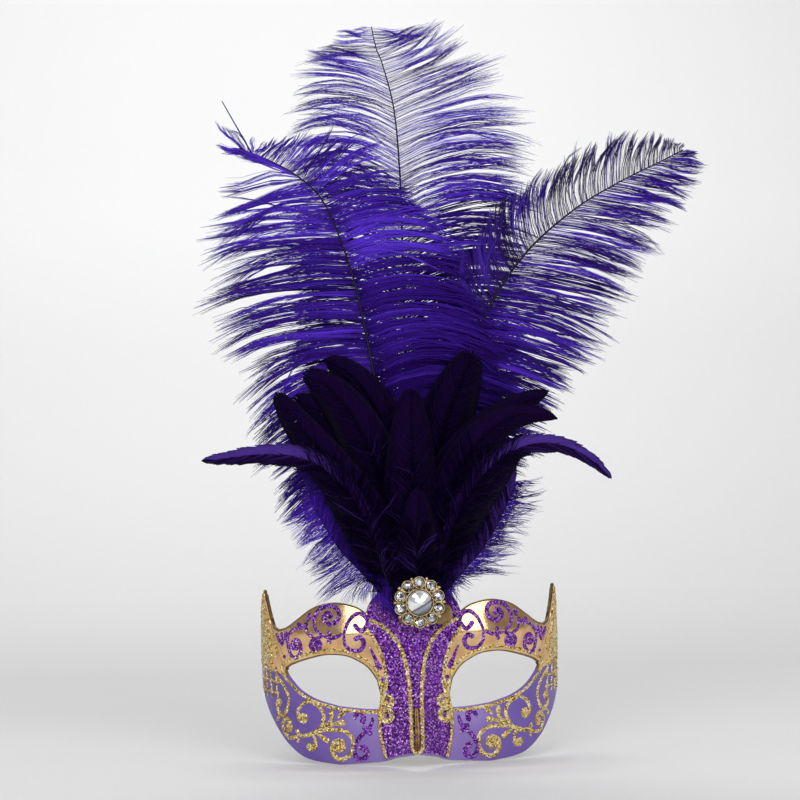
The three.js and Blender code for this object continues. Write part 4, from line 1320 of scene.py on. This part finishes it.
HORN_CURLS = [
    ((1.2, 1.6, 1.6), [(90, 25), (95, 24), (98, 18), (95.5, 11.5), (91.5, 13), (91.5, 18.5), (94.5, 18)]),
    ((1.0, 1.4), [(99, 26), (101, 16)]),
]
LATTICE = [((1.0, 1.0), [(s, 6), (s - 0.8, -3), (s - 2, -13)]) for s in (92, 98.5, 105, 111)]
LATTICE += [((1.0, 1.0), [(88, z), (101, z + 0.6), (115, z + 1.5)]) for z in (3.5, -3, -9.5)]
PANEL_EDGE_START = 4
PANEL_LINES = [
    ((1.5, 1.7, 1.5), PANEL[PANEL_EDGE_START:, :2]),
    ((1.8, 1.8, 1.5), [
        (26.5, 35.2), (20.5, 33), (14.2, 28), (9.2, 21.5), (5.6, 11.5), (3.8, -0.5), (3.2, -12), (3.1, -25),
        (2.9, -36), (1.9, -39.4), (0, -40.2),
    ]),
]
EYE_RING_WIDTHS = (1.5, 1.5)
EYE_RING_OFF = (1.9, 3.2)
EYE_RING_STEP = (-3, 5)
CHEEK_HEIGHT, PANEL_LINE_HEIGHT, EYE_RING_HEIGHT = 0.65, 1.15, 0.6
CHEEK_SEED = 420
print("gold strokes on each half:", len(CHEEK_SCROLLS + HORN_CURLS + LATTICE + PANEL_LINES + EYE_CURLS))

# %% Make the gold lines
random = np.random.default_rng(CHEEK_SEED)
gold_beads = mirrored(CHEEK_SCROLLS + drops(CHEEK_DROPS) + HORN_CURLS + LATTICE, CHEEK_HEIGHT, random)
gold_beads += mirrored(PANEL_LINES + EYE_CURLS, PANEL_LINE_HEIGHT, random)
ring_rise = smooth_step(*EYE_RING_STEP, eye_line[:, 1:])
ring_off = EYE_RING_OFF[0] + (EYE_RING_OFF[1] - EYE_RING_OFF[0]) * ring_rise
eye_ring = eye_line + ring_off * eye_out
eye_ring = np.concatenate([eye_ring, eye_ring[:1]])[::FINER]
gold_beads += mirrored([(EYE_RING_WIDTHS, eye_ring)], EYE_RING_HEIGHT, random)
glitter_piece("gold_scrolls", gold_beads, gold_glitter)

# %% Gold glitter on the horns and between eye and nose
HORN_INNER = [(108.5, 47.5), (106, 42), (102.5, 34), (99.5, 26), (96.5, 16), (96, 7)]
HORN_OUTER = [(109.6, 48), (114.8, 39.5), (118.6, 26), (119.6, 16), (119.6, 11), (119, 5)]
HORN_GRID = (66, 24)
CORNER_INNER = [(17.6, 0), (17.4, -3), (18.6, -7), (20.2, -12)]
CORNER_OUTER = [(18.6, 0.5), (20, -3), (20, -8), (20.6, -12)]
CORNER_GRID = (20, 6)
PATCH_SEED = 430
random = np.random.default_rng(PATCH_SEED)
patches = []
for inner, outer, grid in ((HORN_INNER, HORN_OUTER, HORN_GRID), (CORNER_INNER, CORNER_OUTER, CORNER_GRID)):
    middle = 0.5 * (np.array(inner) + outer)
    patches.append(glitter_sheet(inner, middle, outer, *grid, random))
    flipped = [np.multiply(line, (-1, 1)) for line in (outer, middle, inner)]
    patches.append(glitter_sheet(*flipped, *grid, random))
glitter_piece("gold_patches", patches, gold_glitter)

# %% Channel down the nose
CHANNEL = [(0, -14), (0, -26), (0, -39.6)]
CHANNEL_WIDTHS = (2.4, 3.6, 3.6)
NOSE_DROPS = [(0, -20, 0.9), (0, -31, 1.1)]
CHANNEL_HEIGHT, NOSE_DROP_HEIGHT = 0.75, 1.1
DROP_SEED = 440
channel_gold = mottled(
    "channel_gold", {"Metallic": 0.9}, [(0.35, (0.05, 0.022, 0.008)), (0.65, (0.24, 0.14, 0.045))],
    4, 2, 0.1, rough=(0.15, 0.3),
)
channel = glue_line(CHANNEL, CHANNEL_WIDTHS, CHANNEL_HEIGHT, random, grain=0.0)
seat(new_piece("nose_channel", *channel, [channel_gold]), "mask")
random = np.random.default_rng(DROP_SEED)
nose_drops = [glue_line(points, widths, NOSE_DROP_HEIGHT, random) for widths, points in drops(NOSE_DROPS)]
glitter_piece("nose_drops", nose_drops, violet_glitter)

# %% [markdown]
# ## Brooch
#
# The brooch is a cast and gilded setting: a back plate, one large cup, ten small cups round it, and a pin
# with a round head between every two of them. All of these are turned shapes, so a profile of radius and
# height is carried round an axis. The plate is painted nearly black as painted shade for the dark gaps
# between the cups, and the lips of the cups are rounded so that they catch the light.

# %% Turned shapes
BROOCH_X, BROOCH_BACK, BROOCH_Z = 3.1, -3.55, 46.0
RING_COUNT = 10


def in_brooch(x, y, forward):
    """Place in the frame of a place in the brooch, whose axis looks along minus Y."""
    return np.stack([BROOCH_X + x, BROOCH_BACK - forward, BROOCH_Z + y], -1)


def turned(profile, sides, centre=(0, 0)):
    """Profile of radius and height carried round an axis at a centre."""
    radius, height = np.array(profile, float).T
    angle = 2 * np.pi * np.arange(sides) / sides
    x = centre[0] + radius * np.cos(angle)[:, None]
    y = centre[1] + radius * np.sin(angle)[:, None]
    points = in_brooch(x, y, np.broadcast_to(height, x.shape)).reshape(-1, 3)
    return points, grid_quads(sides, len(profile), close_rows=True, close_columns=radius[0] > 0)


def on_ring(orbit, step):
    """Place on a circle of the brooch, counted clockwise from its top in steps of the ring."""
    angle = 2 * np.pi * step / RING_COUNT
    return orbit * np.sin(angle), orbit * np.cos(angle)


print("stones in the ring:", RING_COUNT)

# %% Brooch finishes
antique_gold = mottled(
    "antique_gold", {"Metallic": 1.0},
    [(0.3, (0.36, 0.26, 0.11)), (0.5, (0.64, 0.51, 0.27)), (0.75, (0.85, 0.74, 0.48))],
    2.5, 0.8, 0.05, rough=(0.18, 0.34),
)
# painted shade: the plate is nearly black for the dark gaps between the cups
plate_painted_shade = mottled(
    "plate_painted_shade", {"Metallic": 0.8, "Roughness": 0.5},
    [(0.35, (0.02, 0.013, 0.008)), (0.7, (0.12, 0.08, 0.035))], 2.0, 0.8, 0.08,
)
pad_gold = mottled(
    "pad_gold", {"Metallic": 0.7, "Roughness": 0.4},
    [(0.3, (0.13, 0.08, 0.03)), (0.7, (0.30, 0.20, 0.08))], 4.0, 1.5, 0.15,
)
print("brooch finishes ready")

# %% Setting
PLATE = [(0, 0), (12.6, 0), (13.2, 0.25), (13.4, 0.7), (13.2, 1.15), (12.6, 1.4), (0, 1.4)]
CENTRE_CUP = [
    (7.5, 1.2), (8.2, 1.2), (8.35, 3), (8.2, 4.6), (8.05, 5.05), (7.85, 5.2), (7.6, 5.1), (7.45, 4.8),
    (7.45, 3),
]
RING_CUP = [(3.1, 1.2), (3.75, 1.2), (3.7, 2.8), (3.6, 3.5), (3.4, 3.8), (3.15, 3.75), (3.0, 3.4), (3.0, 2)]
RING_ORBIT = 11.4
LARGE_SIDES, CUP_SIDES, PIN_SIDES = 48, 24, 12
PIN_ORBIT, PIN_HEAD, PIN_LIFT = 14.1, 1.15, 2.0
ARM = {"root": 8.6, "steps": 6, "sides": 6, "half": 0.5, "arch": 0.9}
round_turn = np.linspace(0, np.pi, 9)
pin_profile = np.stack([PIN_HEAD * np.sin(round_turn), PIN_LIFT - PIN_HEAD * np.cos(round_turn)], 1)
arm_reach = np.linspace(ARM["root"], PIN_ORBIT, ARM["steps"])
arm_arch = ARM["arch"] * np.sin(np.pi * (arm_reach - ARM["root"]) / (PIN_ORBIT - ARM["root"]))
arm_half = np.full((1, ARM["steps"]), ARM["half"])
metal = [turned(CENTRE_CUP, LARGE_SIDES)]
for step in range(RING_COUNT):
    metal.append(turned(RING_CUP, CUP_SIDES, on_ring(RING_ORBIT, step)))
    metal.append(turned(pin_profile, PIN_SIDES, on_ring(PIN_ORBIT, step + 0.5)))
    arm = in_brooch(*on_ring(arm_reach, step + 0.5), PIN_LIFT + arm_arch)
    metal.append(many_tubes(arm[None], arm_half, arm_half, sides=ARM["sides"]))
plate = turned(PLATE, LARGE_SIDES)
points, faces = joined([plate, *metal])
kind = (np.arange(len(faces)) >= len(plate[1])) * 1
setting = new_piece("brooch_metal", points, faces, [plate_painted_shade, antique_gold], face_material=kind)
seat(weld(setting), "gilt", "brooch_setting")

# %% [markdown]
# ## Stones
#
# The stones are glass with a metal foil behind, so they shine like small mirrors and show no colour of
# their own. The large one is cut to a low point with fourteen flat sides and a row of small facets round
# its edge; flat shading keeps every facet a mirror of its own. Their colours hold painted reflections as
# well: the large stone is painted white to the upper left and dark to the lower right, and the small ones
# in light and dark cells.

# %% Foil glass
# painted reflections on the small stones: cells from dark to white
FOIL_PAINTED_REFLECTIONS = [
    (0.0, (0.05, 0.05, 0.055)), (0.35, (0.32, 0.32, 0.35)),
    (0.6, (0.72, 0.72, 0.75)), (0.8, (0.97, 0.97, 1.0)),
]
# painted reflections on the large stone: white for low tones, dark for high ones
LARGE_PAINTED_REFLECTIONS = [
    (0.0, (0.6, 0.6, 0.6)), (0.25, (1, 1, 1)), (0.6, (0.97, 0.97, 0.98)),
    (0.64, (0.13, 0.14, 0.16)), (0.76, (0.45, 0.48, 0.53)), (0.9, (0.2, 0.21, 0.24)),
]
painted_reflection_glass = glitter("painted_reflection_glass", FOIL_PAINTED_REFLECTIONS, 1.3, 0.9, {"Metallic": 0.9, "Roughness": 0.06})
large_painted_reflection_glass, large_tree, large_shader = new_material("large_painted_reflection_glass", {"Metallic": 0.75, "Roughness": 0.08})
paint(large_tree, large_shader, point_tint(large_tree), LARGE_PAINTED_REFLECTIONS)
print("stone finishes ready")

# %% Large stone
PAINTED_SHADE_SIDE = np.radians(-60)
PAINTED_LIGHT_SLOPE = 0.07
STONE_SIDES = 14
# A ring gives its radius, how far forward it is, and its turn as a share of one side.
STONE_RINGS = [
    (2.5, 1.95, 0.0), (7.15, 4.55, 0.0), (7.15, 5.0, 0.0), (6.1, 6.1, 0.5), (3.2, 7.5, 0.0), (0.35, 8.5, 0.5),
]
spin = np.arange(STONE_SIDES)
ring_points, painted_reflection_tone = [], []
for radius, forward, shift in STONE_RINGS:
    angle = 2 * np.pi * (spin + shift) / STONE_SIDES
    # painted reflection: the tone rises across the stone towards its painted shade side, lower right
    painted_reflection_tone.append(0.5 + PAINTED_LIGHT_SLOPE * radius * np.cos(angle - PAINTED_SHADE_SIDE))
    level = np.full(STONE_SIDES, forward)
    ring_points.append(in_brooch(radius * np.cos(angle), radius * np.sin(angle), level))
stone_faces = []
beside = (spin + 1) % STONE_SIDES
for ring in range(len(STONE_RINGS) - 1):
    low, high = ring * STONE_SIDES, (ring + 1) * STONE_SIDES
    lead = STONE_RINGS[ring + 1][2] >= STONE_RINGS[ring][2]
    a, b, c, d = low + spin, low + beside, high + spin, high + beside
    first = [a, b, c, c] if lead else [a, b, d, d]
    second = [b, d, c, c] if lead else [a, d, c, c]
    stone_faces += [np.stack(first, 1), np.stack(second, 1)]
fan = np.arange(1, STONE_SIDES - 1)
stone_faces.append(np.stack([0 * fan, fan + 1, fan, fan], 1))
stone_faces.append(np.stack([0 * fan, fan, fan + 1, fan + 1], 1) + (len(STONE_RINGS) - 1) * STONE_SIDES)
points, faces = np.concatenate(ring_points), np.concatenate(stone_faces)
tones = {"tint": np.concatenate(painted_reflection_tone)}
large_stone = new_piece("centre_stone_cut", points, faces, [large_painted_reflection_glass], tones, smooth=False)
seat(large_stone, "stone", "centre_stone")

# %% Small stones and pad
def dress(node, material):
    """A frame node keeps its mesh and takes a finish."""
    mesh = bpy.data.objects[node].data
    mesh.materials.clear()
    mesh.materials.append(material)


# the small stones take the finish with painted reflections
for step in range(RING_COUNT):
    dress(f"ring_stone_{step + 1:02d}", painted_reflection_glass)
dress("brooch_pad", pad_gold)
print("dressed nodes:", RING_COUNT + 1)

# %% [markdown]
# ## Closing
#
# The triangles of all the new pieces are counted and printed. The dressed part has to stay inside
# the box of the frame's solids.

# %% Triangle count
print("triangles in all:", sum(made_triangles))
